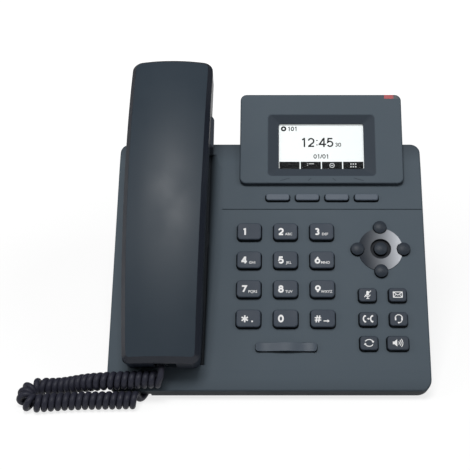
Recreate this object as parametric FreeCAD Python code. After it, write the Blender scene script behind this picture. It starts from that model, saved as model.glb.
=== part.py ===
import FreeCAD, Part
import math
import os
from FreeCAD import Vector

# A desk IP phone on its stand: handset and curly cord on the left, raised display, keys on a sloping plate.
# Pieces are drawn in the plate frame (x across, y up the key plate from its front edge, z out of the
# plate) and then seated on the desk. Sizes are millimetres, angles are degrees.

# Driving dimensions of the body
SEAT_ANGLE = 45.0
BODY_WIDTH = 189.1
PLATE_FRONT = -0.9
PLATE_LENGTH = 156.7
FRONT_CREASE = 11.2
REAR_CREASE = 139.6
FRONT_DROP = 0.8
REAR_DROP = 1.2
FRONT_EDGE_HEIGHT = 8.5
FRONT_EDGE_RAKE = 1.2
BODY_DEPTH = 26.0
BELOW = -60.0
UNDERSIDE_FLAT_START = 62.0
FRONT_CORNER = 8.0
REAR_CORNER = 6.0
EDGE_ROUND = 1.2
WALL = 2.2
PARTING = -6.0
DESK_GAP = 1.86
GROOVE_AT = 111.7
GROOVE_SIZE = 0.5
GROOVE_LEFT = -29.6

# Cradle under the handset: a trough that the plate rolls into on its right side
CRADLE_FLOOR = -3.0
CRADLE_LEFT = -85.4
CRADLE_DRAFT = 1.0
CRADLE_CORNER = 5.0
CRADLE_FRONT = 14.0
CRADLE_REAR = 149.0
CRADLE_FRONT_ROLL = (-38.6, -36.6)
CRADLE_REAR_ROLL = (-37.5, -29.6)
GRILLE_CENTRE = (-61.0, 94.0)
GRILLE_RADIUS = 24.0
GRILLE_SLOTS = 7
GRILLE_SLOT_PITCH = 5.0
GRILLE_SLOT_WIDTH = 2.0
GRILLE_MARGIN = 4.6

# Riser that the ear end of the handset rests on
RISER_LEFT = -88.0
RISER_RIGHT = -34.8
RISER_REAR = 170.4
RISER_TOP = 11.5
RISER_BOTTOM = -20.0
RISER_ROUND = 2.4
RISER_CORNER = 3.5
RISER_DRAFT = 3.0

# Keys: face sizes, places and travel
KEY_CLEARANCE = 0.3
KEY_FLARE = 0.35
KEY_ROUND = 0.6
KEY_FLANGE = 1.0
KEY_FLANGE_TOP = -2.3
KEY_FLANGE_BOTTOM = -3.3
DIAL_COLUMNS = (-12.45, 9.6, 31.65)
DIAL_FIRST_ROW = 96.27
DIAL_ROW_PITCH = 18.24
DIAL_FACE = (14.3, 10.5)
DIAL_HEIGHT = 3.0
DIAL_CORNER = 2.2
DIAL_NAMES = ("1", "2", "3", "4", "5", "6", "7", "8", "9", "star", "0", "hash")
SOFT_FIRST = 4.86
SOFT_PITCH = 18.26
SOFT_ROW = 119.2
SOFT_FACE = (14.3, 4.2)
SOFT_HEIGHT = 2.3
SOFT_CORNER = 1.4
FUNCTION_FACE = (10.3, 8.2)
SPEAKER_FACE = (12.4, 8.2)
FUNCTION_HEIGHT = 2.8
FUNCTION_CORNER = 1.8
FUNCTION_COLUMNS = (58.45, 76.4)
SPEAKER_KEY_AT = 75.5
FUNCTION_ROWS = (56.1, 41.2, 26.65)
FUNCTION_NAMES = (("mute_key", "message_key"), ("transfer_key", "headset_key"), ("redial_key", "speaker_key"))
NAV_CENTRE = (67.3, 85.4)
NAV_DISC_RADIUS = 13.55
NAV_DISC_HEIGHT = 2.1
NAV_DOME_RADIUS = 60.0
NAV_BUTTON_RADIUS = 3.95
NAV_BUTTON_ORBIT = 14.0
NAV_BUTTON_HEIGHT = 2.9
NAV_BUTTON_RISE = 0.9
NAV_WELL_RADIUS = 6.15
VOLUME_CENTRE = (9.95, 24.6)
VOLUME_FACE = (35.9, 5.2)
VOLUME_CORNER = 1.6
VOLUME_HEIGHT = 2.3
VOLUME_DIP = 0.7
VOLUME_CREST = 0.4
VOLUME_STEM = (3.6, 4.0)
VOLUME_PIN_DEPTH = -5.0
VOLUME_PIN_RADIUS = 1.0
VOLUME_PIN_LENGTH = 11.0
VOLUME_LUG = (2.2, 0.9)
VOLUME_BAR_BOTTOM = -2.6

# Keypad membrane and main board under the plate
SHEET_TOP = -6.2
SHEET_BOTTOM = -7.4
SHEET_BOX = (-19.5, 17.0, 83.0, 124.0)
BOARD_BOX = (-20.0, 15.0, 83.5, 126.0)
BOARD_THICKNESS = 1.6
DOME_RADIUS = 1.6
DOME_FOOT_RADIUS = 2.2
SHEET_POSTS = ((-17.0, 108.0), (80.5, 108.0), (-17.0, 20.0), (48.0, 20.0))
SHEET_POST_RADIUS = 1.5

# Display hood
HOOD_LEFT = -18.9
HOOD_RIGHT = 83.2
HOOD_BOTTOM = 127.8
HOOD_TOP = 188.0
HOOD_LOW = 3.2
HOOD_TILT = 3.0
HOOD_CORNER = 4.0
HOOD_ROUND = 1.0
HOOD_WALL = 2.0
RECESS_BOX = (-1.9, 4.5, 66.6, 46.6)
WINDOW_BOX = (5.5, 10.5, 58.9, 41.1)
RECESS_CORNER = 2.5
WINDOW_CORNER = 1.2
RECESS_DEPTH = 2.6
FRAME_DEPTH = 3.4
LENS_THICKNESS = 0.8
LENS_BOX = (3.0, 7.5, 62.0, 44.1)
LCD_THICKNESS = 2.4
LAMP_BOX = (72.5, 81.5)
LAMP_DEPTH = 3.0
LAMP_HEIGHT = 2.0
HOOD_BACK_DEPTH = 24.0
HOOD_BACK_LIP = 3.0
HOOD_BACK_RAKE = 18.0
HOOD_NOTCH = (-8.0, 72.0)
HOOD_NOTCH_FROM = 130.4

# Sockets on the underside
RJ45_BLOCK = (16.0, 17.0, 13.4)
RJ45_MOUTH = (11.9, 8.0, 13.0)
RJ9_BLOCK = (11.5, 14.0, 10.6)
RJ9_MOUTH = (7.9, 6.9, 10.5)
SOCKET_ROW = 98.0
SOCKET_TOP = -9.05
SOCKET_LATCH = 1.3
SOCKET_FIT = 0.05
SOCKET_PLACES = {"power_socket": -30.0, "pc_socket": -11.0, "lan_socket": 8.0, "headset_socket": 26.0}
POWER_BLOCK = (9.0, 14.0, 11.0)
POWER_BORE = 3.1
POWER_PIN = 1.0
BAY_WALL = 2.0
BAY_ROOF = 1.5
CABLE_BAY = (-38.0, 72.0, 38.0, 98.0)
CABLE_BAY_CEILING = -11.0
CORD_BAY = (-80.0, 10.0, -64.0, 50.0)
CORD_BAY_CEILING = -9.0
CORD_SOCKET_AT = (-72.0, -14.9)

# Screws, feet and stand
SCREW_PLACES = ((-25.0, 30.0), (88.0, 30.0), (-25.0, 130.0), (88.0, 130.0))
SCREW_HEAD_RADIUS = 2.9
SCREW_HEAD_HEIGHT = 2.0
SCREW_SINK = 3.2
SCREW_TIP = -3.6
SCREW_CROSS = (2.0, 0.4, 0.8)
SCREW_RADIUS = 1.3
SCREW_POST_RADIUS = 4.5
SCREW_BOSS_RADIUS = 3.5
FRONT_FOOT_LENGTH = 24.0
FRONT_FOOT_AT = 46.0
FRONT_FOOT_FROM = 10.4
FRONT_FOOT_TO = 19.4
STAND_HALF_WIDTH = 58.0
STAND_THICKNESS = 3.2
STAND_ARM = (70.0, 135.9)
STAND_ARM_INNER = 42.0
STAND_BRIDGE_FROM = 122.0
STAND_FOOT = (90.0, 124.0)
STAND_PAD_HEIGHT = 2.0
STAND_PAD = (22.0, 28.0)
STAND_PAD_AT = 44.0
STAND_WINDOW = (36.0, 22.0, 66.0)
STAND_HOOKS = ((-50.0, 82.0), (50.0, 82.0), (-50.0, 118.0), (50.0, 118.0))
HOOK_STEM = (7.4, 2.6)
HOOK_LIP = 1.6
HOOK_FIT = 0.3

# Handset
HANDSET_AT = -61.4
HANDSET_FRONT = 11.0
HANDSET_REAR = 204.8
HANDSET_FRONT_HALF = 22.3
HANDSET_REAR_HALF = 25.5
HANDSET_CORNERS = (5.0, 6.0)
HANDSET_LEAN = 0.035
HANDSET_FACE_FRONT = 21.4
HANDSET_FACE_PEAK = (112.0, 35.3)
HANDSET_FACE_REAR = 20.8
HANDSET_CROWN_RADIUS = 85.0
HANDSET_CROWN_LIFT = 1.5
HANDSET_SWEEP = 44.0
HANDSET_REACH = 40.0
HANDSET_SPAN = (-20.0, 60.0)
HANDSET_BEVEL = 3.0
HANDSET_WALL = 2.4
HANDSET_SPLIT = 12.0
HANDSET_UNDERSIDE = ((204.8, 6.0, 3.0), (200.8, -2.0, 4.0), (173.6, -2.0, 3.0), (172.2, 12.0, 1.5),
                     (146.0, 12.0, 20.0), (106.0, 18.0, 60.0), (61.0, 14.0, 12.0), (46.0, -2.6, 8.0),
                     (17.5, -2.6, 5.0), (11.0, 5.0, 3.0))
EAR_AT = 187.6
EAR_RADIUS = 10.0
EAR_HEIGHT = 6.0
EAR_FLOOR = 0.4
EAR_STEP = 2.0
EAR_MAGNET_RADIUS = 6.0
EAR_HOLE_ORBIT = 5.5
EAR_HOLE_RADIUS = 1.3
EAR_HOLES = 6
MOUTH_AT = 33.0
MOUTH_RADIUS = 4.85
MOUTH_HEIGHT = 4.0
MOUTH_HOLE_RADIUS = 0.9
MOUTH_HOLES = 4
MOUTH_HOLE_PITCH = 2.6
MOUTH_FLOOR = -0.2
HOLE_SPAN = (-4.0, 1.4)
JACK_NOTCH = (-65.5, -52.8)
JACK_NOTCH_HEIGHTS = (6.8, 17.4)
JACK_BLOCK = (14.9, 14.0, 11.2)
PLUG_AT = (-61.4, 12.2)
PLUG_BODY = (7.65, 6.6, 11.0)
PLUG_LATCH = (3.2, 1.2, 7.0)
PLUG_PROUD = 0.4

# Hook plunger in the top of the riser
PLUNGER_AT = (-61.0, 163.2)
PLUNGER_TOP = (9.0, 5.0)
PLUNGER_CORNER = 1.0
PLUNGER_PROUD = 0.2
PLUNGER_FLANGE = (12.0, 7.0)
PLUNGER_FLANGE_HEIGHTS = (3.6, 4.8)
RISER_POCKET = (-83.0, 158.9, -39.8, 167.6)
RISER_POCKET_CEILING = 9.0

# Curly cord: the coil's axis is a quadratic spline on these points, from the handset to the base,
# in millimetres from the plate's front edge (across, back, up from the desk)
CORD_RADIUS = 1.65
CURL_RADIUS = 3.8
CURL_PITCH = 3.9
CURL_GAP = 0.55
CORD_ROUTE = ((-63.5, -0.5, 16.6), (-80.0, -0.7, 16.5), (-97.0, -1.4, 16.1), (-107.0, 3.8, 13.2),
              (-113.5, 9.5, 8.4), (-121.0, 13.0, 5.75), (-131.0, 11.5, 5.75), (-140.0, 5.5, 5.75),
              (-141.5, -5.0, 6.2), (-133.5, -11.5, 7.0), (-121.0, -9.0, 6.4), (-108.0, -7.0, 5.75),
              (-92.0, -6.4, 5.75), (-75.0, -5.4, 5.75))
CORD_SAMPLES = 4000
CORD_STRAIGHT = 3.6
CORD_DIVE_END = 5.0
CORD_RISE_RADIUS = 18.0
CORD_NOTCH = (6.0, 4.6)
CORD_NOTCH_DEPTH = 12.0

NODES = {}
CORD_NODES = ("handset_cord", "cord_plug_handset", "cord_plug_base")
SLOPE = math.radians(SEAT_ANGLE)
X_AXIS = Vector(1, 0, 0)
Y_AXIS = Vector(0, 1, 0)
Z_AXIS = Vector(0, 0, 1)
FRONT_LOW = PLATE_FRONT - FRONT_EDGE_RAKE
UNDERSIDE_FALL = (BODY_DEPTH - FRONT_EDGE_HEIGHT) / (UNDERSIDE_FLAT_START - FRONT_LOW)
SEAT_LIFT = FRONT_EDGE_HEIGHT * math.cos(SLOPE) - FRONT_LOW * math.sin(SLOPE) + DESK_GAP


def to_desk(x, y, z):
    """Plate frame to desk frame: tilt the plate and lift it to its feet."""
    back = y * math.cos(SLOPE) - z * math.sin(SLOPE)
    up = y * math.sin(SLOPE) + z * math.cos(SLOPE) + SEAT_LIFT
    return Vector(x, back, up)


def seat(shape):
    """Turn a shape drawn in the plate frame into the desk frame."""
    turned = shape.copy()
    turned.rotate(Vector(0, 0, 0), X_AXIS, SEAT_ANGLE)
    turned.translate(Vector(0, 0, SEAT_LIFT))
    return turned


def underside_at(y):
    """Height of the body's outer underside at a place along the plate."""
    if y >= UNDERSIDE_FLAT_START:
        return -BODY_DEPTH
    return -FRONT_EDGE_HEIGHT - UNDERSIDE_FALL * (y - FRONT_LOW)


def outline(corners, place):
    """Closed wire through (a, b, radius) corners, each rounded by its radius, set in space by place(a, b)."""
    starts = []
    middles = []
    ends = []
    count = len(corners)
    for i in range(count):
        corner = Vector(corners[i][0], corners[i][1], 0)
        radius = corners[i][2]
        if radius == 0:
            starts.append(corner)
            middles.append(None)
            ends.append(corner)
            continue
        before = Vector(corners[i - 1][0], corners[i - 1][1], 0)
        after = Vector(corners[(i + 1) % count][0], corners[(i + 1) % count][1], 0)
        to_before = (before - corner).normalize()
        to_after = (after - corner).normalize()
        half = to_before.getAngle(to_after) / 2
        reach = radius / math.tan(half)
        starts.append(corner + to_before * reach)
        ends.append(corner + to_after * reach)
        middles.append(corner + (to_before + to_after).normalize() * (radius / math.sin(half) - radius))
    edges = []
    for i in range(count):
        if middles[i] is not None:
            edges.append(Part.Arc(*(place(p.x, p.y) for p in (starts[i], middles[i], ends[i]))).toShape())
        following = starts[(i + 1) % count]
        if ends[i].distanceToPoint(following) > 1e-6:
            start = place(ends[i].x, ends[i].y)
            edges.append(Part.LineSegment(start, place(following.x, following.y)).toShape())
    return Part.Wire(edges)


def flat(z):
    """Placer for outlines drawn across and along the plate at height z."""
    return lambda a, b: Vector(a, b, z)


def side(x):
    """Placer for outlines drawn along and out of the plate at a place across it."""
    return lambda a, b: Vector(x, a, b)


def rect(x0, y0, x1, y1, radius=0.0):
    return ((x0, y0, radius), (x1, y0, radius), (x1, y1, radius), (x0, y1, radius))


def centred(x, y, width, length, radius=0.0):
    return rect(x - width / 2, y - length / 2, x + width / 2, y + length / 2, radius)


def prism(corners, z0, z1):
    """Upright prism on the plate between two heights."""
    return Part.Face(outline(corners, flat(z0))).extrude(Z_AXIS * (z1 - z0))


def side_prism(corners, x0, x1):
    """Prism of a side outline between two places across the plate."""
    return Part.Face(outline(corners, side(x0))).extrude(X_AXIS * (x1 - x0))


def block(x0, y0, z0, x1, y1, z1):
    return Part.makeBox(x1 - x0, y1 - y0, z1 - z0, Vector(x0, y0, z0))


def rod(x, y, z0, z1, radius):
    return Part.makeCylinder(radius, z1 - z0, Vector(x, y, z0))


def taper(low, low_z, high, high_z):
    """Solid between two outlines of the same corner count at two heights."""
    return Part.makeLoft([outline(low, flat(low_z)), outline(high, flat(high_z))], True, True)


def round_edges(shape, radius, chosen):
    """Fillet the edges whose centre passes the test."""
    edges = [edge for edge in shape.Edges if chosen(edge)]
    return shape.makeFillet(radius, edges)


def keep(name, shape, seated=False):
    """Record one sub-part, turned into the desk frame unless it is drawn there."""
    solid = shape if seated else seat(shape)
    solid = solid.removeSplitter()
    if not solid.isValid():
        print("not valid:", name)
    NODES[name] = solid


def body_side(inset):
    """Side outline of the whole body, drawn in by a wall thickness."""
    run = UNDERSIDE_FLAT_START - FRONT_LOW
    fall = BODY_DEPTH - FRONT_EDGE_HEIGHT
    slant = math.hypot(run, fall)
    along = inset * fall / slant
    up = inset * run / slant
    return ((PLATE_FRONT - inset, -FRONT_DROP - inset, 0), (FRONT_CREASE, -inset, 0),
            (REAR_CREASE, -inset, 0), (PLATE_LENGTH, -REAR_DROP - inset, 0),
            (PLATE_LENGTH, inset - BODY_DEPTH, 0), (UNDERSIDE_FLAT_START + along, inset - BODY_DEPTH, 0),
            (FRONT_LOW + along, up - FRONT_EDGE_HEIGHT, 0))


def body_plan(inset):
    half = BODY_WIDTH / 2 - inset
    front = FRONT_CORNER - inset
    rear = REAR_CORNER - inset
    low = inset + FRONT_LOW
    high = PLATE_LENGTH - inset
    return ((-half, low, front), (half, low, front), (half, high, rear), (-half, high, rear))


def body_solid(inset):
    plan = prism(body_plan(inset), -BODY_DEPTH - 1, 1)
    return plan.common(side_prism(body_side(inset), -BODY_WIDTH, BODY_WIDTH))


def is_plate_rim(edge):
    """True for the edges between the plate's top strips and its walls."""
    middle = edge.CenterOfMass
    on_side = abs(abs(middle.x) - BODY_WIDTH / 2) < 3.5
    on_end = middle.y < 2.5 or middle.y > PLATE_LENGTH - 2.5
    return middle.z > -REAR_DROP - 0.3 and (on_side or on_end) and edge.Length > 0.01


def cradle_profile(y, roll, spread):
    """Cross-section of the trough: its right side rolls over from the floor to the plate."""
    foot, edge = roll
    left = CRADLE_LEFT - spread
    floor = CRADLE_FLOOR - spread
    corners = [Vector(edge + spread, y, -spread), Vector(edge + spread, y, 1),
               Vector(left - CRADLE_DRAFT, y, 1), Vector(left, y, floor), Vector(foot + spread / 2, y, floor)]
    edges = [Part.LineSegment(a, b).toShape() for a, b in zip(corners, corners[1:])]
    if spread:
        edges.append(Part.LineSegment(corners[-1], corners[0]).toShape())
    else:
        radius = ((edge - foot) ** 2 + floor ** 2) / (-2 * floor)
        turn = math.asin((edge - foot) / radius) / 2
        middle = Vector(edge - radius * math.sin(turn), y, radius * (math.cos(turn) - 1))
        edges.append(Part.Arc(corners[-1], middle, corners[0]).toShape())
    return Part.Wire(edges)


def cradle_cut(spread):
    """Trough under the handset with the loudspeaker's round well, larger by spread for the wall below."""
    front = CRADLE_FRONT - spread
    rear = CRADLE_REAR + spread
    ends = [cradle_profile(front, CRADLE_FRONT_ROLL, spread), cradle_profile(rear, CRADLE_REAR_ROLL, spread)]
    trough = Part.makeLoft(ends, True, True)
    plan = rect(CRADLE_LEFT - CRADLE_DRAFT - spread, front, 0.0, rear, CRADLE_CORNER)
    trough = trough.common(prism(plan, CRADLE_FLOOR - spread, 1))
    return trough.fuse(rod(*GRILLE_CENTRE, CRADLE_FLOOR - spread, 1, GRILLE_RADIUS + spread))


def key_places():
    """Every pushed key: name, centre, face, height and corner radius."""
    places = []
    for i, name in enumerate(DIAL_NAMES):
        centre = (DIAL_COLUMNS[i % 3], DIAL_FIRST_ROW - DIAL_ROW_PITCH * (i // 3))
        places.append(("key_" + name, centre, DIAL_FACE, DIAL_HEIGHT, DIAL_CORNER))
    for i in range(4):
        centre = (SOFT_FIRST + SOFT_PITCH * i, SOFT_ROW)
        places.append(("soft_key_%d" % (i + 1), centre, SOFT_FACE, SOFT_HEIGHT, SOFT_CORNER))
    for row, names in enumerate(FUNCTION_NAMES):
        for column, name in enumerate(names):
            centre = (FUNCTION_COLUMNS[column], FUNCTION_ROWS[row])
            face = FUNCTION_FACE
            if name == "speaker_key":
                centre = (SPEAKER_KEY_AT, FUNCTION_ROWS[row])
                face = SPEAKER_FACE
            places.append((name, centre, face, FUNCTION_HEIGHT, FUNCTION_CORNER))
    return places


def nav_places():
    """The five navigation buttons and their centres."""
    x, y = NAV_CENTRE
    orbit = NAV_BUTTON_ORBIT
    return (("nav_up", (x, y + orbit)), ("nav_down", (x, y - orbit)), ("nav_left", (x - orbit, y)),
            ("nav_right", (x + orbit, y)), ("nav_ok", (x, y)))


def key_openings(clearance):
    """Prisms of every key's hole through the plate."""
    holes = []
    for name, centre, face, height, corner in key_places():
        spread = 2 * (KEY_FLARE + clearance)
        shape = centred(*centre, face[0] + spread, face[1] + spread, corner + KEY_FLARE + clearance)
        holes.append(prism(shape, -WALL - 1, 1))
    for name, centre in nav_places():
        holes.append(rod(*centre, -WALL - 1, 1, NAV_BUTTON_RADIUS + clearance))
    x, y = VOLUME_CENTRE
    spread = 2 * clearance
    shape = centred(x, y, VOLUME_FACE[0] + spread, VOLUME_FACE[1] + spread, VOLUME_CORNER + clearance)
    holes.append(prism(shape, -WALL - 1, 1))
    return holes


def make_upper_housing():
    skin = round_edges(body_solid(0.0), EDGE_ROUND, is_plate_rim)
    shell = skin.cut(body_solid(WALL))
    shell = shell.common(block(-BODY_WIDTH, -20, PARTING, BODY_WIDTH, 200, 20))
    posts = [cradle_cut(WALL).common(body_solid(0.0))]
    for x, y in SCREW_PLACES:
        posts.append(rod(x, y, PARTING, -WALL, SCREW_BOSS_RADIUS))
    for x, y in SHEET_POSTS:
        posts.append(rod(x, y, SHEET_BOTTOM, -WALL, SHEET_POST_RADIUS))
    posts += rocker_lugs()
    tools = [cradle_cut(0.0), rocker_pin(VOLUME_PIN_RADIUS + KEY_CLEARANCE, 2 * VOLUME_PIN_LENGTH)]
    tools += grille_slots()
    for x, y in SCREW_PLACES:
        tools.append(rod(x, y, PARTING - 1, SCREW_TIP + 0.2, SCREW_RADIUS + 0.05))
    tools += key_openings(KEY_CLEARANCE)
    tools.append(block(HOOD_NOTCH[0], HOOD_NOTCH_FROM, SHEET_BOTTOM, HOOD_NOTCH[1], PLATE_LENGTH + 4, 2.0))
    groove_half = GROOVE_SIZE / 2
    tools.append(block(GROOVE_LEFT, GROOVE_AT - groove_half, -GROOVE_SIZE,
                       BODY_WIDTH, GROOVE_AT + groove_half, 1))
    return shell.fuse(posts).cut(tools)


def grille_slots():
    """Slots over the loudspeaker, each as long as the round grille allows."""
    x, y = GRILLE_CENTRE
    slots = []
    for i in range(GRILLE_SLOTS):
        offset = (i - (GRILLE_SLOTS - 1) / 2) * GRILLE_SLOT_PITCH
        half = math.sqrt((GRILLE_RADIUS - GRILLE_MARGIN) ** 2 - offset ** 2)
        slot = centred(x, y + offset, 2 * half, GRILLE_SLOT_WIDTH, GRILLE_SLOT_WIDTH / 2 - 0.01)
        slots.append(prism(slot, CRADLE_FLOOR - WALL - 1, CRADLE_FLOOR + 0.5))
    return slots


def rocker_pin(radius, length):
    """Cross pin of the volume rocker, or the bore for it."""
    x, y = VOLUME_CENTRE
    return Part.makeCylinder(radius, length, Vector(x, y - length / 2, VOLUME_PIN_DEPTH), Y_AXIS)


def rocker_lugs():
    """Two ears under the plate that carry the rocker's pin."""
    x, y = VOLUME_CENTRE
    half, thick = VOLUME_LUG
    reach = VOLUME_FACE[1] / 2 + 1.6
    low = VOLUME_PIN_DEPTH - VOLUME_PIN_RADIUS - thick
    return [block(x - half, y + at - thick, low, x + half, y + at + thick, -WALL) for at in (-reach, reach)]


def make_lower_housing():
    """Tray with the cable bay, the cord's bay, screw posts and slots for the stand's hooks."""
    body = body_solid(0.0)
    shell = body.cut(body_solid(WALL))
    shell = shell.common(block(-BODY_WIDTH, -20, BELOW, BODY_WIDTH, 200, PARTING))
    added = []
    tools = []
    for (x0, y0, x1, y1), ceiling in ((CABLE_BAY, CABLE_BAY_CEILING), (CORD_BAY, CORD_BAY_CEILING)):
        roof = ceiling + BAY_ROOF
        added.append(block(x0 - BAY_WALL, y0 - BAY_WALL, BELOW, x1 + BAY_WALL, y1 + BAY_WALL, roof))
        tools.append(block(x0, y0, BELOW, x1, y1, ceiling))
    for x, y in SCREW_PLACES:
        added.append(rod(x, y, BELOW, PARTING, SCREW_POST_RADIUS))
        head = underside_at(y) + SCREW_SINK
        tools.append(rod(x, y, BELOW, head, SCREW_HEAD_RADIUS + 0.3))
        tools.append(rod(x, y, head - 1, PARTING + 1, SCREW_RADIUS + 0.2))
    for name, x in SOCKET_PLACES.items():
        size = socket_block(name)
        tools.append(socket_window(x, CABLE_BAY[3], SOCKET_TOP - size[2] / 2, size))
    x, z = CORD_SOCKET_AT
    tools.append(socket_window(x, CORD_BAY[3], z, RJ9_BLOCK))
    width, length = HOOK_STEM
    for hook_x, hook_y in STAND_HOOKS:
        slot = centred(hook_x, hook_y + HOOK_LIP / 2, width + 2 * HOOK_FIT, length + HOOK_LIP + 2 * HOOK_FIT)
        tools.append(prism(slot, BELOW, WALL + 2 - BODY_DEPTH))
    shell = shell.fuse([piece.common(body) for piece in added]).cut(tools)
    notch = Part.makeBox(CORD_NOTCH[0], CORD_NOTCH_DEPTH, CORD_NOTCH[1], Vector(x - CORD_NOTCH[0] / 2, 0, 0))
    return seat(shell).cut(notch)


def socket_window(x, y, z, size):
    """Cut through a bay's rear wall for a socket block of the size given."""
    half = size[0] / 2 + SOCKET_FIT
    rise = size[2] / 2 + SOCKET_FIT
    return block(x - half, y - 1, z - rise, x + half, y + 3, z + rise)


def make_cradle_riser():
    """Block with rounded rear corners that narrows downwards and steps over the body's rear edge."""
    side_view = ((CRADLE_REAR, 0.0, 0), (CRADLE_REAR, RISER_TOP, RISER_ROUND),
                 (RISER_REAR, RISER_TOP, RISER_ROUND), (RISER_REAR, RISER_BOTTOM + 6, 4.0),
                 (PLATE_LENGTH + 4, RISER_BOTTOM, 2.0), (PLATE_LENGTH, RISER_BOTTOM, 0))
    riser = side_prism(side_view, RISER_LEFT, RISER_RIGHT)
    riser = riser.cut(seat_of_riser())
    low = RISER_BOTTOM - 1
    front_view = ((RISER_LEFT + RISER_DRAFT, low, 0), (RISER_RIGHT - RISER_DRAFT, low, 0),
                  (RISER_RIGHT, RISER_TOP, RISER_ROUND), (RISER_LEFT, RISER_TOP, RISER_ROUND))
    across = Part.Face(outline(front_view, lambda a, b: Vector(a, CRADLE_REAR - 5, b))).extrude(Y_AXIS * 40)
    plan = ((RISER_LEFT, CRADLE_REAR, 0), (RISER_RIGHT, CRADLE_REAR, 0),
            (RISER_RIGHT, RISER_REAR, RISER_CORNER), (RISER_LEFT, RISER_REAR, RISER_CORNER))
    riser = riser.common(across).common(prism(plan, low, RISER_TOP + 1))
    x0, y0, x1, y1 = RISER_POCKET
    riser = riser.cut(block(x0, y0, low, x1, y1, RISER_POCKET_CEILING))
    width, length = (size + 2 * KEY_CLEARANCE for size in PLUNGER_TOP)
    hole = centred(*PLUNGER_AT, width, length, PLUNGER_CORNER + KEY_CLEARANCE)
    return riser.cut(prism(hole, 0, RISER_TOP + 1))


def seat_of_riser():
    """The body and the trough bottom that the riser stands on."""
    step = block(RISER_LEFT - 2, CRADLE_REAR - 1, -BODY_DEPTH, RISER_RIGHT + 6, CRADLE_REAR + 4, 0.0)
    return body_solid(0.0).fuse(step)


def socket_block(name):
    if name == "power_socket":
        return POWER_BLOCK
    if name == "headset_socket":
        return RJ9_BLOCK
    return RJ45_BLOCK


def make_jack(x, y, z, size, mouth):
    """Modular jack with its mouth facing the front and a latch channel along the bottom of the mouth."""
    width, length, height = size
    body = prism(centred(x, y + length / 2, width, length), z - height / 2, z + height / 2)
    half = mouth[0] / 2
    rise = mouth[1] / 2
    rear = y + mouth[2]
    cavity = block(x - half, y - 1, z - rise, x + half, rear, z + rise)
    latch = block(x - half / 2, y - 1, z - rise - SOCKET_LATCH, x + half / 2, rear, z)
    return body.cut(cavity.fuse(latch))


def make_sockets():
    for name, x in SOCKET_PLACES.items():
        width, length, height = socket_block(name)
        z = SOCKET_TOP - height / 2
        if name == "power_socket":
            body = prism(centred(x, SOCKET_ROW + length / 2, width, length), z - height / 2, z + height / 2)
            depth = length - 3
            bore = Part.makeCylinder(POWER_BORE, depth, Vector(x, SOCKET_ROW, z), Y_AXIS)
            pin = Part.makeCylinder(POWER_PIN, depth, Vector(x, SOCKET_ROW + 1, z), Y_AXIS)
            keep(name, body.cut(bore).fuse(pin))
        else:
            mouth = RJ9_MOUTH if name == "headset_socket" else RJ45_MOUTH
            keep(name, make_jack(x, SOCKET_ROW, z, (width, length, height), mouth))
    x, z = CORD_SOCKET_AT
    keep("base_handset_socket", make_jack(x, CORD_BAY[3], z, RJ9_BLOCK, RJ9_MOUTH))


def make_key(centre, face, height, corner):
    """Tapered key cap with rounded top edges, its guide and the flange that holds it under the plate."""
    wide = centred(*centre, face[0] + 2 * KEY_FLARE, face[1] + 2 * KEY_FLARE, corner + KEY_FLARE)
    top = centred(*centre, face[0], face[1], corner)
    cap = taper(wide, 0.0, top, height)
    cap = round_edges(cap, KEY_ROUND, lambda edge: edge.CenterOfMass.z > height - 0.01)
    guide = prism(wide, KEY_FLANGE_TOP, 0.0)
    spread = 2 * (KEY_FLARE + KEY_FLANGE)
    foot = centred(*centre, face[0] + spread, face[1] + spread, corner + KEY_FLANGE)
    return cap.fuse([guide, prism(foot, KEY_FLANGE_BOTTOM, KEY_FLANGE_TOP)])


def make_nav_button(centre):
    """Round domed button with its flange."""
    x, y = centre
    rise = NAV_BUTTON_RISE
    radius = NAV_BUTTON_RADIUS
    shoulder = NAV_BUTTON_HEIGHT - rise
    sphere = (radius ** 2 + rise ** 2) / (2 * rise)
    body = rod(x, y, KEY_FLANGE_TOP, NAV_BUTTON_HEIGHT, radius)
    dome = Part.makeSphere(sphere, Vector(x, y, NAV_BUTTON_HEIGHT - sphere))
    body = body.common(dome.fuse(rod(x, y, KEY_FLANGE_TOP, shoulder, radius)))
    return body.fuse(rod(x, y, KEY_FLANGE_BOTTOM, KEY_FLANGE_TOP, radius + KEY_FLANGE))


def make_nav_ring():
    """Domed disc with a well for the centre button and bites for the four round it."""
    x, y = NAV_CENTRE
    disc = rod(x, y, 0, NAV_DISC_HEIGHT, NAV_DISC_RADIUS)
    disc = disc.common(Part.makeSphere(NAV_DOME_RADIUS, Vector(x, y, NAV_DISC_HEIGHT - NAV_DOME_RADIUS)))
    holes = [rod(x, y, -1, 5, NAV_WELL_RADIUS)]
    for name, centre in nav_places():
        holes.append(rod(*centre, -1, 5, NAV_BUTTON_RADIUS + KEY_CLEARANCE))
    return disc.cut(holes)


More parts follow.
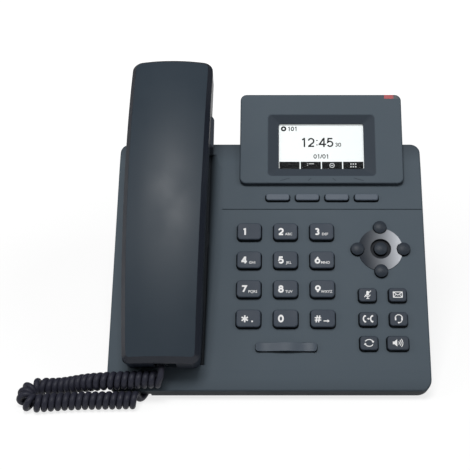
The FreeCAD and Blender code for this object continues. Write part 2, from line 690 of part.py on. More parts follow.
def make_volume_rocker():
    """Bar with two shallow thumb dips, on a cross pin below the plate."""
    x, y = VOLUME_CENTRE
    half = VOLUME_FACE[0] / 2
    quarter = half / 2
    crest = quarter * VOLUME_CREST
    top = VOLUME_HEIGHT
    dip = VOLUME_HEIGHT - VOLUME_DIP
    low = VOLUME_BAR_BOTTOM
    spans = ((-half, top), (-quarter, dip), (-crest, top), (crest, top), (quarter, dip), (half, top))
    points = [Vector(x + a, y - VOLUME_FACE[1], b) for a, b in spans]
    curve = Part.BSplineCurve()
    curve.interpolate(points)
    low_right = Vector(x + half, y - VOLUME_FACE[1], low)
    low_left = Vector(x - half, y - VOLUME_FACE[1], low)
    edges = [curve.toShape(), Part.LineSegment(points[-1], low_right).toShape(),
             Part.LineSegment(low_right, low_left).toShape(), Part.LineSegment(low_left, points[0]).toShape()]
    bar = Part.Face(Part.Wire(edges)).extrude(Y_AXIS * 2 * VOLUME_FACE[1])
    bar = bar.common(prism(centred(x, y, *VOLUME_FACE, VOLUME_CORNER), low, 2 * top))
    width, length = VOLUME_STEM
    stem = block(x - width / 2, y - length / 2, VOLUME_PIN_DEPTH - 0.6, x + width / 2, y + length / 2, low)
    return bar.fuse([stem, rocker_pin(VOLUME_PIN_RADIUS, VOLUME_PIN_LENGTH)])


def make_membrane():
    """Silicone sheet with one dome under every key."""
    sheet = prism(rect(*SHEET_BOX, 2.0), SHEET_BOTTOM, SHEET_TOP)
    centres = [place[1] for place in key_places()] + [place[1] for place in nav_places()]
    rise = KEY_FLANGE_BOTTOM - SHEET_TOP
    domes = []
    for centre in centres:
        domes.append(Part.makeCone(DOME_FOOT_RADIUS, DOME_RADIUS, rise, Vector(*centre, SHEET_TOP)))
    sheet = sheet.fuse(domes)
    x, y = VOLUME_CENTRE
    reach = VOLUME_PIN_LENGTH / 2
    holes = [block(x - 4.0, y - reach, -10, x + 4.0, y + reach, 0)]
    for px, py in SHEET_POSTS:
        holes.append(rod(px, py, -10, 0, SHEET_POST_RADIUS + 0.5))
    return sheet.cut(holes)


def make_main_board():
    return prism(rect(*BOARD_BOX, 1.5), SHEET_BOTTOM - BOARD_THICKNESS, SHEET_BOTTOM)


def make_loudspeaker():
    x, y = GRILLE_CENTRE
    top = CRADLE_FLOOR - WALL
    frame = rod(x, y, top - 3.0, top, 20.0)
    cone = Part.makeCone(12.0, 18.5, 5.0, Vector(x, y, top - 8.0))
    magnet = rod(x, y, top - 13.0, top - 8.0, 12.0)
    return frame.fuse([cone, magnet])


def hood_face(shape):
    """Shape drawn on the hood's face (x across, y up the face, z out) turned into the plate frame."""
    turned = shape.copy()
    turned.rotate(Vector(0, 0, 0), X_AXIS, HOOD_TILT)
    turned.translate(Vector(0, HOOD_BOTTOM, HOOD_LOW))
    return turned


def hood_height(y):
    return HOOD_LOW + (y - HOOD_BOTTOM) * math.tan(math.radians(HOOD_TILT))


def hood_solid(inset, floor):
    """Outer form of the display hood, drawn in by a wall thickness, standing on a floor height."""
    corner = HOOD_CORNER - inset
    plan = rect(HOOD_LEFT + inset, HOOD_BOTTOM + inset, HOOD_RIGHT - inset, HOOD_TOP - inset, corner)
    low = HOOD_BOTTOM - 1
    high = HOOD_TOP + 1
    side_view = ((low, floor, 0), (high, floor, 0), (high, hood_height(high) - inset, 0),
                 (low, hood_height(low) - inset, 0))
    return prism(plan, floor, 30).common(side_prism(side_view, HOOD_LEFT - 1, HOOD_RIGHT + 1))


def make_display_bezel():
    hood = hood_solid(0.0, 0.0)
    hood = round_edges(hood, HOOD_ROUND, lambda edge: edge.CenterOfMass.z > HOOD_LOW - 0.2)
    shell = hood.cut(hood_solid(HOOD_WALL, -1.0))
    x0, y0, x1, y1 = RECESS_BOX
    frame = hood_face(prism(rect(x0 - 2, y0 - 1.0, x1 + 2, y1 + 2, 3.0), -FRAME_DEPTH, -0.5))
    shell = shell.fuse(frame.common(hood))
    recess = taper(rect(*WINDOW_BOX, WINDOW_CORNER), -RECESS_DEPTH, rect(*RECESS_BOX, RECESS_CORNER), 0.01)
    opening = prism(rect(*WINDOW_BOX, WINDOW_CORNER), -FRAME_DEPTH - 1, -RECESS_DEPTH)
    lamp_slot = block(LAMP_BOX[0], HOOD_TOP - LAMP_DEPTH, -LAMP_HEIGHT, LAMP_BOX[1], HOOD_TOP + 2, 5)
    lamp_slot.translate(Vector(0, 0, hood_height(HOOD_TOP)))
    return shell.cut([hood_face(recess.fuse(opening)), lamp_slot])


def make_lamp_lens():
    hood = round_edges(hood_solid(0.0, 0.0), HOOD_ROUND, lambda edge: edge.CenterOfMass.z > HOOD_LOW - 0.2)
    lens = block(LAMP_BOX[0], HOOD_TOP - LAMP_DEPTH, -LAMP_HEIGHT, LAMP_BOX[1], HOOD_TOP + 2, 5)
    lens.translate(Vector(0, 0, hood_height(HOOD_TOP)))
    return lens.common(hood)


def make_display_stack():
    lens = prism(rect(*LENS_BOX, 1.0), -FRAME_DEPTH - LENS_THICKNESS, -FRAME_DEPTH)
    keep("display_window", hood_face(lens))
    low = -FRAME_DEPTH - LENS_THICKNESS
    panel = prism(rect(*LENS_BOX, 1.0), low - LCD_THICKNESS, low)
    keep("lcd_panel", hood_face(panel))


def make_display_back():
    """Wedge cover that closes the hood behind the body."""
    def wedge(inset):
        view = ((PLATE_LENGTH + inset, inset, 0), (HOOD_TOP - inset, inset, 0),
                (HOOD_TOP - inset, -HOOD_BACK_LIP, 0),
                (HOOD_TOP - HOOD_BACK_RAKE - inset, inset - HOOD_BACK_DEPTH, 0),
                (PLATE_LENGTH + inset, inset - HOOD_BACK_DEPTH, 0))
        return side_prism(view, HOOD_LEFT + HOOD_CORNER + inset, HOOD_RIGHT - HOOD_CORNER - inset)
    cover = wedge(0.0).cut(wedge(HOOD_WALL))
    opening = block(HOOD_NOTCH[0], PLATE_LENGTH - 1, PARTING, HOOD_NOTCH[1], PLATE_LENGTH + HOOD_WALL + 1, 1)
    top = block(HOOD_LEFT + HOOD_CORNER + HOOD_WALL, PLATE_LENGTH + HOOD_WALL, -HOOD_WALL,
                HOOD_RIGHT - HOOD_CORNER - HOOD_WALL, HOOD_TOP - HOOD_WALL, 1)
    return cover.cut([opening, top])


def make_screws():
    """Cross-headed screws up through the lower housing into the plate's bosses."""
    half, narrow, depth = SCREW_CROSS
    screws = []
    for x, y in SCREW_PLACES:
        top = underside_at(y) + SCREW_SINK
        low = top - SCREW_HEAD_HEIGHT
        screw = rod(x, y, low, top, SCREW_HEAD_RADIUS).fuse(rod(x, y, top, SCREW_TIP, SCREW_RADIUS))
        slot = block(x - half, y - narrow, low - 1, x + half, y + narrow, low + depth)
        cross = block(x - narrow, y - half, low - 1, x + narrow, y + half, low + depth)
        screws.append(screw.cut([slot, cross]))
    return Part.Compound(screws)


def make_front_feet():
    """Rubber wedges between the sloping underside and the desk, drawn in the desk frame."""
    front = to_desk(0, FRONT_LOW, -FRONT_EDGE_HEIGHT)
    rear = to_desk(0, UNDERSIDE_FLAT_START, -BODY_DEPTH)
    rise = (rear.z - front.z) / (rear.y - front.y)
    low = front.z + rise * (FRONT_FOOT_FROM - front.y)
    high = front.z + rise * (FRONT_FOOT_TO - front.y)
    view = ((FRONT_FOOT_FROM, 0, 0.8), (FRONT_FOOT_TO, 0, 0.8), (FRONT_FOOT_TO, high, 0),
            (FRONT_FOOT_FROM, low, 0))
    feet = []
    for centre in (-FRONT_FOOT_AT, FRONT_FOOT_AT):
        feet.append(side_prism(view, centre - FRONT_FOOT_LENGTH / 2, centre + FRONT_FOOT_LENGTH / 2))
    return Part.Compound(feet)


def stand_points():
    """Corner places of the stand's side view, in the desk frame."""
    top = -BODY_DEPTH
    low = top - STAND_THICKNESS
    leg_outer = to_desk(0, STAND_ARM[1], top)
    leg_inner = leg_outer.y - STAND_THICKNESS
    bend_y = (leg_inner + low * math.sin(SLOPE)) / math.cos(SLOPE)
    return {"arm_top": to_desk(0, STAND_ARM[0], top), "arm_low": to_desk(0, STAND_ARM[0], low),
            "leg_outer": leg_outer, "bend": to_desk(0, bend_y, low), "low": low}


def make_desk_stand():
    points = stand_points()
    outer = points["leg_outer"]
    bend = points["bend"]
    foot_low = STAND_PAD_HEIGHT
    foot_high = STAND_PAD_HEIGHT + STAND_THICKNESS
    view = ((points["arm_top"].y, points["arm_top"].z, 0), (outer.y, outer.z, 1.5), (outer.y, foot_high, 2.0),
            (STAND_FOOT[1], foot_high, 1.0), (STAND_FOOT[1], foot_low, 0), (STAND_FOOT[0], foot_low, 0),
            (STAND_FOOT[0], foot_high, 1.0), (bend.y, foot_high, 2.0), (bend.y, bend.z, 4.0),
            (points["arm_low"].y, points["arm_low"].z, 1.0))
    half = STAND_HALF_WIDTH
    stand = side_prism(view, -half, half)
    web_from = to_desk(0, STAND_ARM[0] + 12, points["low"])
    web_view = ((web_from.y, web_from.z, 0), (bend.y, bend.z, 0), (bend.y, 18.0, 0))
    for x in (-half, half - STAND_THICKNESS):
        stand = stand.fuse(side_prism(web_view, x, x + STAND_THICKNESS))
    gap = seat(block(-STAND_ARM_INNER, STAND_ARM[0] - 5, -BODY_DEPTH - 8,
                     STAND_ARM_INNER, STAND_BRIDGE_FROM, -BODY_DEPTH + 1))
    width, low, high = STAND_WINDOW
    window = Part.makeBox(2 * width, 20, high - low, Vector(-width, outer.y - 10, low))
    stand = stand.cut([gap, window])
    width, length = HOOK_STEM
    inside = WALL - BODY_DEPTH
    for x, y in STAND_HOOKS:
        stem = prism(centred(x, y, width, length), -BODY_DEPTH - 0.5, inside + 2)
        lip = prism(centred(x, y + HOOK_LIP / 2, width, length + HOOK_LIP), inside + 0.2, inside + 2)
        stand = stand.fuse(seat(stem.fuse(lip)))
    return stand


def make_stand_feet():
    middle = (STAND_FOOT[0] + STAND_FOOT[1]) / 2
    feet = []
    for x in (-STAND_PAD_AT, STAND_PAD_AT):
        feet.append(prism(centred(x, middle, *STAND_PAD, 3.0), 0, STAND_PAD_HEIGHT))
    return Part.Compound(feet)


def handset_arch():
    """Centre and radius of the long arc of the handset's back."""
    front = Vector(0, HANDSET_FRONT, HANDSET_FACE_FRONT)
    rear = Vector(0, HANDSET_REAR, HANDSET_FACE_REAR)
    circle = Part.Circle(front, Vector(0, *HANDSET_FACE_PEAK), rear)
    return circle.Center, circle.Radius


def handset_side_wire():
    """Side outline of the handset below its back: two deep ends and a raised grip between."""
    top = HANDSET_SPAN[1]
    corners = ((HANDSET_REAR, top, 0),) + HANDSET_UNDERSIDE + ((HANDSET_FRONT, top, 0),)
    return outline(corners, side(HANDSET_AT - HANDSET_REACH))


def handset_plan(height, inset):
    """Plan of the handset at a height: the sides lean in a little towards its face."""
    narrow = inset + HANDSET_LEAN * (HANDSET_FACE_FRONT - height)
    front = HANDSET_FRONT_HALF - narrow
    rear = HANDSET_REAR_HALF - narrow
    low = HANDSET_FRONT + inset
    high = HANDSET_REAR - inset
    front_corner, rear_corner = (radius - inset for radius in HANDSET_CORNERS)
    return ((HANDSET_AT - front, low, front_corner), (HANDSET_AT + front, low, front_corner),
            (HANDSET_AT + rear, high, rear_corner), (HANDSET_AT - rear, high, rear_corner))


def handset_crown(drop):
    """Solid under the arched back: a shallow arc across the handset, turned about the centre of the arch."""
    centre, radius = handset_arch()
    top = centre.z + radius + HANDSET_CROWN_LIFT - drop
    sag = HANDSET_CROWN_RADIUS - math.sqrt(HANDSET_CROWN_RADIUS ** 2 - HANDSET_REACH ** 2)
    left = HANDSET_AT - HANDSET_REACH
    right = HANDSET_AT + HANDSET_REACH
    low = top - HANDSET_SPAN[1]
    corners = [Vector(right, centre.y, top - sag), Vector(right, centre.y, low), Vector(left, centre.y, low),
               Vector(left, centre.y, top - sag)]
    edges = [Part.LineSegment(a, b).toShape() for a, b in zip(corners, corners[1:])]
    edges.append(Part.Arc(corners[-1], Vector(HANDSET_AT, centre.y, top), corners[0]).toShape())
    section = Part.Face(Part.Wire(edges))
    section.rotate(centre, X_AXIS, -HANDSET_SWEEP / 2)
    return section.revolve(centre, X_AXIS, HANDSET_SWEEP)


def handset_solid(inset):
    low, high = HANDSET_SPAN
    tall = taper(handset_plan(low, inset), low, handset_plan(high, inset), high)
    view = handset_side_wire()
    if inset:
        view = view.makeOffset2D(-inset)
    long = Part.Face(view).extrude(X_AXIS * 2 * HANDSET_REACH)
    return tall.common(long).common(handset_crown(inset))


def above_split():
    """Solid above the joint line between the handset's two shells, which follows the arch of its back."""
    centre, radius = handset_arch()
    left = HANDSET_AT - HANDSET_REACH
    right = HANDSET_AT + HANDSET_REACH
    start = Vector(left, centre.y, centre.z)
    below = Part.makeCylinder(radius - HANDSET_SPLIT, right - left, start, X_AXIS)
    low, high = HANDSET_SPAN
    return block(left, HANDSET_FRONT - 5, low, right, HANDSET_REAR + 5, high).cut(below)


def handset_holes():
    """Sound holes in the face: a ring round the ear's centre and a row at the mouth."""
    holes = [rod(HANDSET_AT, EAR_AT, *HOLE_SPAN, EAR_HOLE_RADIUS)]
    for i in range(EAR_HOLES):
        angle = 2 * math.pi * i / EAR_HOLES
        x = HANDSET_AT + EAR_HOLE_ORBIT * math.cos(angle)
        y = EAR_AT + EAR_HOLE_ORBIT * math.sin(angle)
        holes.append(rod(x, y, *HOLE_SPAN, EAR_HOLE_RADIUS))
    for i in range(MOUTH_HOLES):
        x = HANDSET_AT + (i - (MOUTH_HOLES - 1) / 2) * MOUTH_HOLE_PITCH
        holes.append(rod(x, MOUTH_AT, *HOLE_SPAN, MOUTH_HOLE_RADIUS))
    return holes


def make_handset():
    solid = handset_solid(0.0)
    back = max(solid.Faces, key=lambda face: face.CenterOfMass.z)
    solid = solid.makeChamfer(HANDSET_BEVEL, back.Edges)
    shell = solid.cut(handset_solid(HANDSET_WALL))
    above = above_split()
    inner = HANDSET_FRONT + HANDSET_WALL
    low, high = JACK_NOTCH_HEIGHTS
    notch = block(JACK_NOTCH[0], HANDSET_FRONT - 2, low, JACK_NOTCH[1], inner + 0.2, high)
    keep("handset_back_shell", shell.common(above).cut(notch))
    keep("handset_face_shell", shell.cut(above).cut([notch] + handset_holes()))
    shoulder = EAR_FLOOR + EAR_HEIGHT - EAR_STEP
    receiver = rod(HANDSET_AT, EAR_AT, EAR_FLOOR, shoulder, EAR_RADIUS)
    magnet = rod(HANDSET_AT, EAR_AT, shoulder, shoulder + EAR_STEP, EAR_MAGNET_RADIUS)
    keep("earpiece_receiver", receiver.fuse(magnet))
    mouth_top = MOUTH_FLOOR + MOUTH_HEIGHT
    keep("handset_microphone", rod(HANDSET_AT, MOUTH_AT, MOUTH_FLOOR, mouth_top, MOUTH_RADIUS))
    make_handset_jack(inner)
    keep("cord_plug_handset", make_plug(PLUG_AT[0], HANDSET_FRONT + PLUG_PROUD, PLUG_AT[1]))


def make_handset_jack(front):
    """Socket block behind the notch in the mouth end, with its mouth and latch slot."""
    middle = (JACK_NOTCH[0] + JACK_NOTCH[1]) / 2
    width, length, height = JACK_BLOCK
    x, z = PLUG_AT
    body = prism(centred(middle, front + length / 2, width, length), z - height / 2, z + height / 2)
    half = RJ9_MOUTH[0] / 2
    rise = RJ9_MOUTH[1] / 2
    rear = front + RJ9_MOUTH[2]
    mouth = block(x - half, front - 1, z - rise, x + half, rear, z + rise)
    latch = block(x - half / 2, front - 1, z - rise - SOCKET_LATCH, x + half / 2, rear, z)
    keep("handset_jack", body.cut(mouth.fuse(latch)))


def make_plug(x, y, z):
    """Modular plug pointing up the plate, with its latch below; the cord meets its end at y."""
    width, height, length = PLUG_BODY
    body = prism(centred(x, y + length / 2, width, length, 0.6), z - height / 2, z + height / 2)
    latch = block(x - PLUG_LATCH[0] / 2, y + length - PLUG_LATCH[2], z - height / 2 - PLUG_LATCH[1],
                  x + PLUG_LATCH[0] / 2, y + length - 0.6, z - height / 2)
    return body.fuse(latch)


def make_hook_plunger():
    x, y = PLUNGER_AT
    top = RISER_TOP + PLUNGER_PROUD
    cap = prism(centred(x, y, *PLUNGER_TOP, PLUNGER_CORNER), PLUNGER_FLANGE_HEIGHTS[1], top)
    cap = round_edges(cap, 0.5, lambda edge: edge.CenterOfMass.z > top - 0.01)
    return cap.fuse(prism(centred(x, y, *PLUNGER_FLANGE, PLUNGER_CORNER), *PLUNGER_FLANGE_HEIGHTS))


def cord_axis():
    """Quadratic spline of the coil's axis on the route points."""
    poles = [Vector(*point) for point in CORD_ROUTE]
    spans = len(poles) - 2
    axis = Part.BSplineCurve()
    axis.buildFromPolesMultsKnots(poles, [3] + [1] * (spans - 1) + [3], list(range(spans + 1)), False, 2)
    return axis


def curl_frames():
    """Points, tangents and bends along the axis, evenly spaced in its parameter, with the length so far."""
    axis = cord_axis()
    last = axis.LastParameter
    frames = []
    length = 0.0
    before = None
    for i in range(CORD_SAMPLES + 1):
        at = last * i / CORD_SAMPLES
        point = axis.value(at)
        tangent = Vector(*axis.tangent(at)[0])
        if before is not None:
            length += (point - before).Length
        bend = axis.curvature(at)
        frames.append((length, point, tangent, bend))
        before = point
    return frames


def helix_points():
    """Quarter-turn points of the curls, with their tangents, opened where the axis bends."""
    frames = curl_frames()
    turns = [0.0]
    for i in range(1, len(frames)):
        step = frames[i][0] - frames[i - 1][0]
        room = max(1 - frames[i][3] * CURL_RADIUS, 0.3)
        pitch = max(CURL_PITCH, (2 * CORD_RADIUS + CURL_GAP) / room)
        turns.append(turns[-1] + step / pitch)
    count = int(turns[-1])
    scale = count / turns[-1]

    def place(i):
        length, point, tangent, bend = frames[i]
        across = tangent.cross(Z_AXIS).normalize()
        up = across.cross(tangent).normalize()
        angle = -2 * math.pi * turns[i] * scale - math.pi / 2
        return point + up * (CURL_RADIUS * math.cos(angle)) + across * (CURL_RADIUS * math.sin(angle))

    points = []
    wanted = 0
    for i in range(len(frames)):
        if turns[i] * scale * 4 >= wanted - 1e-9:
            low = max(i - 1, 0)
            high = min(i + 1, len(frames) - 1)
            points.append((place(i), (place(high) - place(low)).normalize()))
            wanted += 1
    return points, count


def biarc(start, start_way, end, end_way):
    """Two tangent arcs between two points with given directions."""
    chord = end - start
    ways = start_way + end_way
    turn = 2 * (1 - start_way.dot(end_way))
    lean = chord.dot(ways)
    if turn < 1e-9:
        reach = chord.dot(chord) / (4 * chord.dot(end_way))
    else:
        reach = (-lean + math.sqrt(lean * lean + turn * chord.dot(chord))) / turn
    joint = (start + end + (start_way - end_way) * reach) * 0.5
    return [arc_from(start, start_way, joint), arc_from(end, end_way * -1, joint, True)]


def arc_from(start, way, end, reverse=False):
    """Arc leaving start along way and reaching end, or a line where they are in line."""
    chord = end - start
    ahead = Vector(chord).normalize()
    off = way - ahead * way.dot(ahead)
    first, last = (end, start) if reverse else (start, end)
    if off.Length < 1e-6:
        return Part.LineSegment(first, last).toShape()
    angle = way.getAngle(ahead)
    middle = (start + end) * 0.5 + off.normalize() * (chord.Length / 2 * math.tan(angle / 2))
    return Part.Arc(first, middle, last).toShape()


def cord_path():
    """One path from the handset plug through every curl to the base plug."""
    points, count = helix_points()
    out = (to_desk(0, -1, 0) - to_desk(0, 0, 0)).normalize()
    start = to_desk(PLUG_AT[0], HANDSET_FRONT + 0.4, PLUG_AT[1])
    leave = start + out * CORD_STRAIGHT
    edges = [Part.LineSegment(start, leave).toShape()]
    edges += biarc(leave, out, *points[0])
    for i in range(len(points) - 1):
        edges += biarc(*points[i], *points[i + 1])
    x, z = CORD_SOCKET_AT
    plug = to_desk(x, CORD_BAY[3] + RJ9_MOUTH[2] - 1.0 - PLUG_BODY[2], z)
    inward = out * -1
    floor = CORD_RADIUS + 0.1
    knee = plug + out * ((plug.z - floor) / -out.z)
    bend = CORD_RISE_RADIUS * math.tan(SLOPE / 2)
    under = Vector(x, knee.y - bend, floor)
    rise = knee + inward * bend
    edges += biarc(*points[-1], Vector(x, CORD_DIVE_END, floor), Y_AXIS)
    if under.y > CORD_DIVE_END + 0.01:
        edges.append(Part.LineSegment(Vector(x, CORD_DIVE_END, floor), under).toShape())
    edges.append(arc_from(under, Y_AXIS, rise))
    edges.append(Part.LineSegment(rise, plug).toShape())
    return edges, start, out, plug, count


def least_gap(edges):
    """Least gap between stretches of the tube that lie further apart along it than half a curl."""
    points = []
    for edge in edges:
        steps = max(2, int(edge.Length / 0.5))
        points += edge.discretize(steps)[:-1]
    along = [0.0]
    for i in range(1, len(points)):
        along.append(along[-1] + (points[i] - points[i - 1]).Length)
    cells = {}
    size = 2 * CURL_RADIUS
    for i, p in enumerate(points):
        cells.setdefault((int(p.x // size), int(p.y // size), int(p.z // size)), []).append(i)
    least = 1e9
    apart = math.pi * CURL_RADIUS
    for i, p in enumerate(points):
        cx, cy, cz = int(p.x // size), int(p.y // size), int(p.z // size)
        for dx in (-1, 0, 1):
            for dy in (-1, 0, 1):
                for dz in (-1, 0, 1):
                    for j in cells.get((cx + dx, cy + dy, cz + dz), ()):
                        if j > i and along[j] - along[i] > apart:
                            least = min(least, (points[j] - p).Length)
    return least - 2 * CORD_RADIUS


def make_cord():
    edges, start, way, plug, count = cord_path()
    path = Part.Wire(edges)
    radii = [edge.Curve.Radius for edge in edges if hasattr(edge.Curve, "Radius")]
    print("curls", count, "cord length", round(path.Length, 1), "least radius", round(min(radii), 2),
          "largest", round(max(radii), 2), "least self gap", round(least_gap(edges), 2))
    profile = Part.Wire([Part.Circle(start, way, CORD_RADIUS).toShape()])
    pipe = Part.BRepOffsetAPI.MakePipeShell(path)
    pipe.add(profile)
    pipe.build()
    pipe.makeSolid()
    tube = pipe.shape()
    swept = math.pi * CORD_RADIUS ** 2 * path.Length
    print("cord volume", round(tube.Volume, 1), "section by length", round(swept, 1))
    keep("handset_cord", tube, True)
    x, z = CORD_SOCKET_AT
    keep("cord_plug_base", make_plug(x, CORD_BAY[3] + RJ9_MOUTH[2] - 1.0 - PLUG_BODY[2], z))


def main():
    keep("upper_housing", make_upper_housing())
    keep("lower_housing", make_lower_housing(), True)
    keep("cradle_riser", make_cradle_riser())
    keep("display_bezel", make_display_bezel())
    keep("display_rear_cover", make_display_back())
    make_display_stack()
    keep("message_lamp_lens", make_lamp_lens())
    keep("nav_ring", make_nav_ring())
    keep("keypad_membrane", make_membrane())
    keep("main_board", make_main_board())
    keep("loudspeaker", make_loudspeaker())
    make_sockets()
    keep("housing_screws", make_screws())
    keep("front_feet", make_front_feet(), True)
    keep("desk_stand", make_desk_stand(), True)
    keep("stand_feet", make_stand_feet(), True)
    make_handset()
    keep("hook_plunger", make_hook_plunger())
    for name, centre, face, height, corner in key_places():
        keep(name, make_key(centre, face, height, corner))
    for name, centre in nav_places():
        keep(name, make_nav_button(centre))
    keep("volume_rocker", make_volume_rocker())
    make_cord()
    write_nodes()


def write_nodes():
    """Set the origin at the bottom centre of the phone without its cord, and write one file per sub-part."""
    boxes = [shape.optimalBoundingBox(False) for name, shape in NODES.items() if name not in CORD_NODES]
    across = (min(box.XMin for box in boxes) + max(box.XMax for box in boxes)) / 2
    back = (min(box.YMin for box in boxes) + max(box.YMax for box in boxes)) / 2
    low = min(box.ZMin for box in boxes)
    print("origin moved by", round(-across, 3), round(-back, 3), round(-low, 3))
    os.makedirs("parts", exist_ok=True)
    for name, shape in NODES.items():
        shape.translate(Vector(-across, -back, -low))
        shape.exportStep("parts/%s.step" % name)
    print(len(NODES), "sub-parts")


main()
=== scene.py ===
import math

import bmesh
import bpy
from mathutils import Matrix, Vector


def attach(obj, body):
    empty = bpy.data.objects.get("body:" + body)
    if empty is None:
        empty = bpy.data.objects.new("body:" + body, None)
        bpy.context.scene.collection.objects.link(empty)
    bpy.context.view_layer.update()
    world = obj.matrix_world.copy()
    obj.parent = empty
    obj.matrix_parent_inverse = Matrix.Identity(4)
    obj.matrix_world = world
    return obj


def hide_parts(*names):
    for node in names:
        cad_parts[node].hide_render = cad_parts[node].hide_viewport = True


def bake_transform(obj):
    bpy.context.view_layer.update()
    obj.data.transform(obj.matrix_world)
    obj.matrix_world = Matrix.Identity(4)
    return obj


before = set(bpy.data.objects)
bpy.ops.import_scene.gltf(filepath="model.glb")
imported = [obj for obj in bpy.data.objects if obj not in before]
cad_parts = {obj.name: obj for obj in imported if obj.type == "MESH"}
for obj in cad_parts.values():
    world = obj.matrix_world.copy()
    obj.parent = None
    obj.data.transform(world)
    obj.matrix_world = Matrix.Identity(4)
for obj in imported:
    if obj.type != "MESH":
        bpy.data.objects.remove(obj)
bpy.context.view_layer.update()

# A desk IP phone on its stand. Sizes of the object are millimetres in the plate frame (x across, y up the key
# plate from its front edge, z out of the plate) and become metres in the shared frame through plate().

MM = 0.001

# Seat of the plate on the desk
SLOPE = math.radians(45.0)
SEAT_LIFT = 9.355
SEAT_BACK = -67.905
PLATE_NORMAL = Vector((0.0, -math.sin(SLOPE), math.cos(SLOPE)))

# Camera and photograph
PHOTO_WIDTH = 470
FOCAL_PIXELS = 993.4
AXIS_PIXEL = 281
CAMERA_PLACE = (6.84, -112.9, 570.9)
CAMERA_ELEVATION = math.radians(25.0)
SENSOR_WIDTH = 36.0

# Curly cord: the turns fan out in a bend, which is measured over a window of axis points each way. The route
# is that of the coil's axis from the handset to the base, given from the plate's front edge. The lead and the
# tail are plain wire. The cord is cut at the split into the part towards the handset and the part on the
# desk.
CORD_RADIUS = 1.85
CORD_SIDES = 12
CURL_RADIUS = 3.5
CURL_PITCH = 3.85
CURL_FANNING = 0.55
CURL_WINDOW = 25
CURL_STEPS = 16
AXIS_DETAIL = 300
CURL_DETAIL = 3
CORD_ROUTE = ((-63.5, -0.5, 16.6), (-80.0, -0.8, 16.2), (-96.0, -0.3, 14.9), (-108.0, 3.3, 11.4),
              (-118.0, 6.1, 7.5), (-127.0, 7.6, 5.65), (-136.9, 8.3, 5.65), (-140.8, 3.6, 5.65),
              (-140.8, -4.8, 5.65), (-136.9, -9.4, 5.65), (-127.0, -8.2, 5.65), (-116.0, -6.9, 5.65),
              (-104.0, -6.3, 5.65), (-92.0, -6.1, 5.65), (-76.0, -5.6, 5.65))
CORD_LEAD = ((-61.4, -0.57, 26.05), (-61.4, -3.11, 23.5), (-61.9, -4.6, 20.3))
CORD_TAIL = ((-75.6, -1.2, 3.4), (-74.2, 1.4, 1.95), (-72.4, 6.6, 1.95), (-72.0, 13.46, 1.95),
             (-72.0, 44.83, 33.12))
CORD_SPLIT = -131.0

# Keys and the white print on them
DIAL_COLUMNS = (-12.45, 9.6, 31.65)
DIAL_FIRST_ROW = 96.27
DIAL_ROW_PITCH = 18.24
DIAL_HEIGHT = 3.0
DIAL_NAMES = ("1", "2", "3", "4", "5", "6", "7", "8", "9", "star", "0", "hash")
DIAL_LETTERS = ("", "ABC", "DEF", "GHI", "JKL", "MNO", "PQRS", "TUV", "WXYZ", "", "", "")
DIGIT_HEIGHT = 4.7
DIGIT_OFFSET = -2.8
DIGIT_BASE = -2.6
DIGIT_WEIGHT = 1.05
FIGURE_STEP = 0.74
LETTER_HEIGHT = 1.65
LETTER_OFFSET = 1.95
LETTER_STEP = 0.45
LETTER_WEIGHT = 0.02
SOFT_HEIGHT = 2.3
FUNCTION_COLUMNS = (58.45, 76.4)
SPEAKER_KEY_AT = 75.5
FUNCTION_ROWS = (56.1, 41.2, 26.65)
FUNCTION_HEIGHT = 2.8
PRINT_DEPTH = 0.03
LAYER_STEP = 0.004
CAP_RATIO = 0.729
NAV_CENTRE = (67.3, 85.4)
NAV_WELL_RADIUS = 6.15
NAV_DISC_RADIUS = 13.55
NAV_RIM = (0.15, 0.35)
SOFT_FIRST = 4.86
SOFT_PITCH = 18.26

# Display: the hood's face is tilted on the plate, and the panel lies below it
HOOD_BOTTOM = 127.8
HOOD_LOW = 3.2
HOOD_TILT = math.radians(3.0)
WINDOW_BOX = (5.5, 10.5, 58.9, 41.1)
PANEL_DEPTH = -4.2
LAMP_MASK = (77.5, 79.0)

# Heights in millimetres, from a face down, over which its colour fades to a darker one, and its level on
# domed keys
# The keys' walls and the plate's trough and creases get painted shade there; the hood gets a darker recess
# and walls
KEY_SHADE_END = (-0.35, -0.75)
PLATE_SHADE_END = (-0.3, -2.6)
HOOD_DARK_END = (-0.1, -0.3)
NAV_FACE_TOP = 2.3
ROCKER_FACE_TOP = 1.6

# Fine surface of the plastics in metres, and the cosines over which an edge counts as worn and a side as dark
# with painted shade
WEAR_RADIUS = 0.0005
PEBBLE_HEIGHT = 0.00012
FINE_HEIGHT = 0.00003
EDGE_TURN = (0.97, 0.75)
SIDE_FACING = (0.78, 0.87)

# Studio, in metres and watts: each light has a place, a width, a height and a power
LIGHT_TARGET = (0.0, 0.0, 0.09)
LIGHTS = {
    "overhead_softbox": ((-0.08, -0.5, 1.15), 0.55, 0.42, 8.5),
    "left_fill": ((-0.9, -0.35, 0.75), 0.5, 0.5, 1.4),
    "right_strip": ((0.75, -0.45, 0.9), 0.25, 0.6, 1.6),
}
FLOOR_SIZE = 6.0
FLOOR_GREYS = (0.29, 0.31)
FLOOR_GLOW = (0.78, 1.0)
FLOOR_GLOW_REACH = (0.2, 0.7)
WORLD_LIGHT = 0.16
WORLD_SEEN = 1.0
WHITE = (1.0, 1.0, 1.0, 1.0)


def plate(x, y, z):
    """Point of the plate frame in the shared frame, in metres."""
    back = (y - z) * math.cos(SLOPE) + SEAT_BACK
    up = (y + z) * math.sin(SLOPE) + SEAT_LIFT
    return Vector((x * MM, back * MM, up * MM))


def desk(x, y, z):
    """Point given across, back and up from the plate's front edge, in the shared frame."""
    return Vector((x * MM, (y + SEAT_BACK) * MM, z * MM))


def srgb(red, green, blue):
    """Colour on the 0 to 255 screen scale as the linear colour a shader takes."""
    linear = [((v / 255 + 0.055) / 1.055) ** 2.4 if v > 10 else v / 255 / 12.92 for v in (red, green, blue)]
    return (*linear, 1.0)


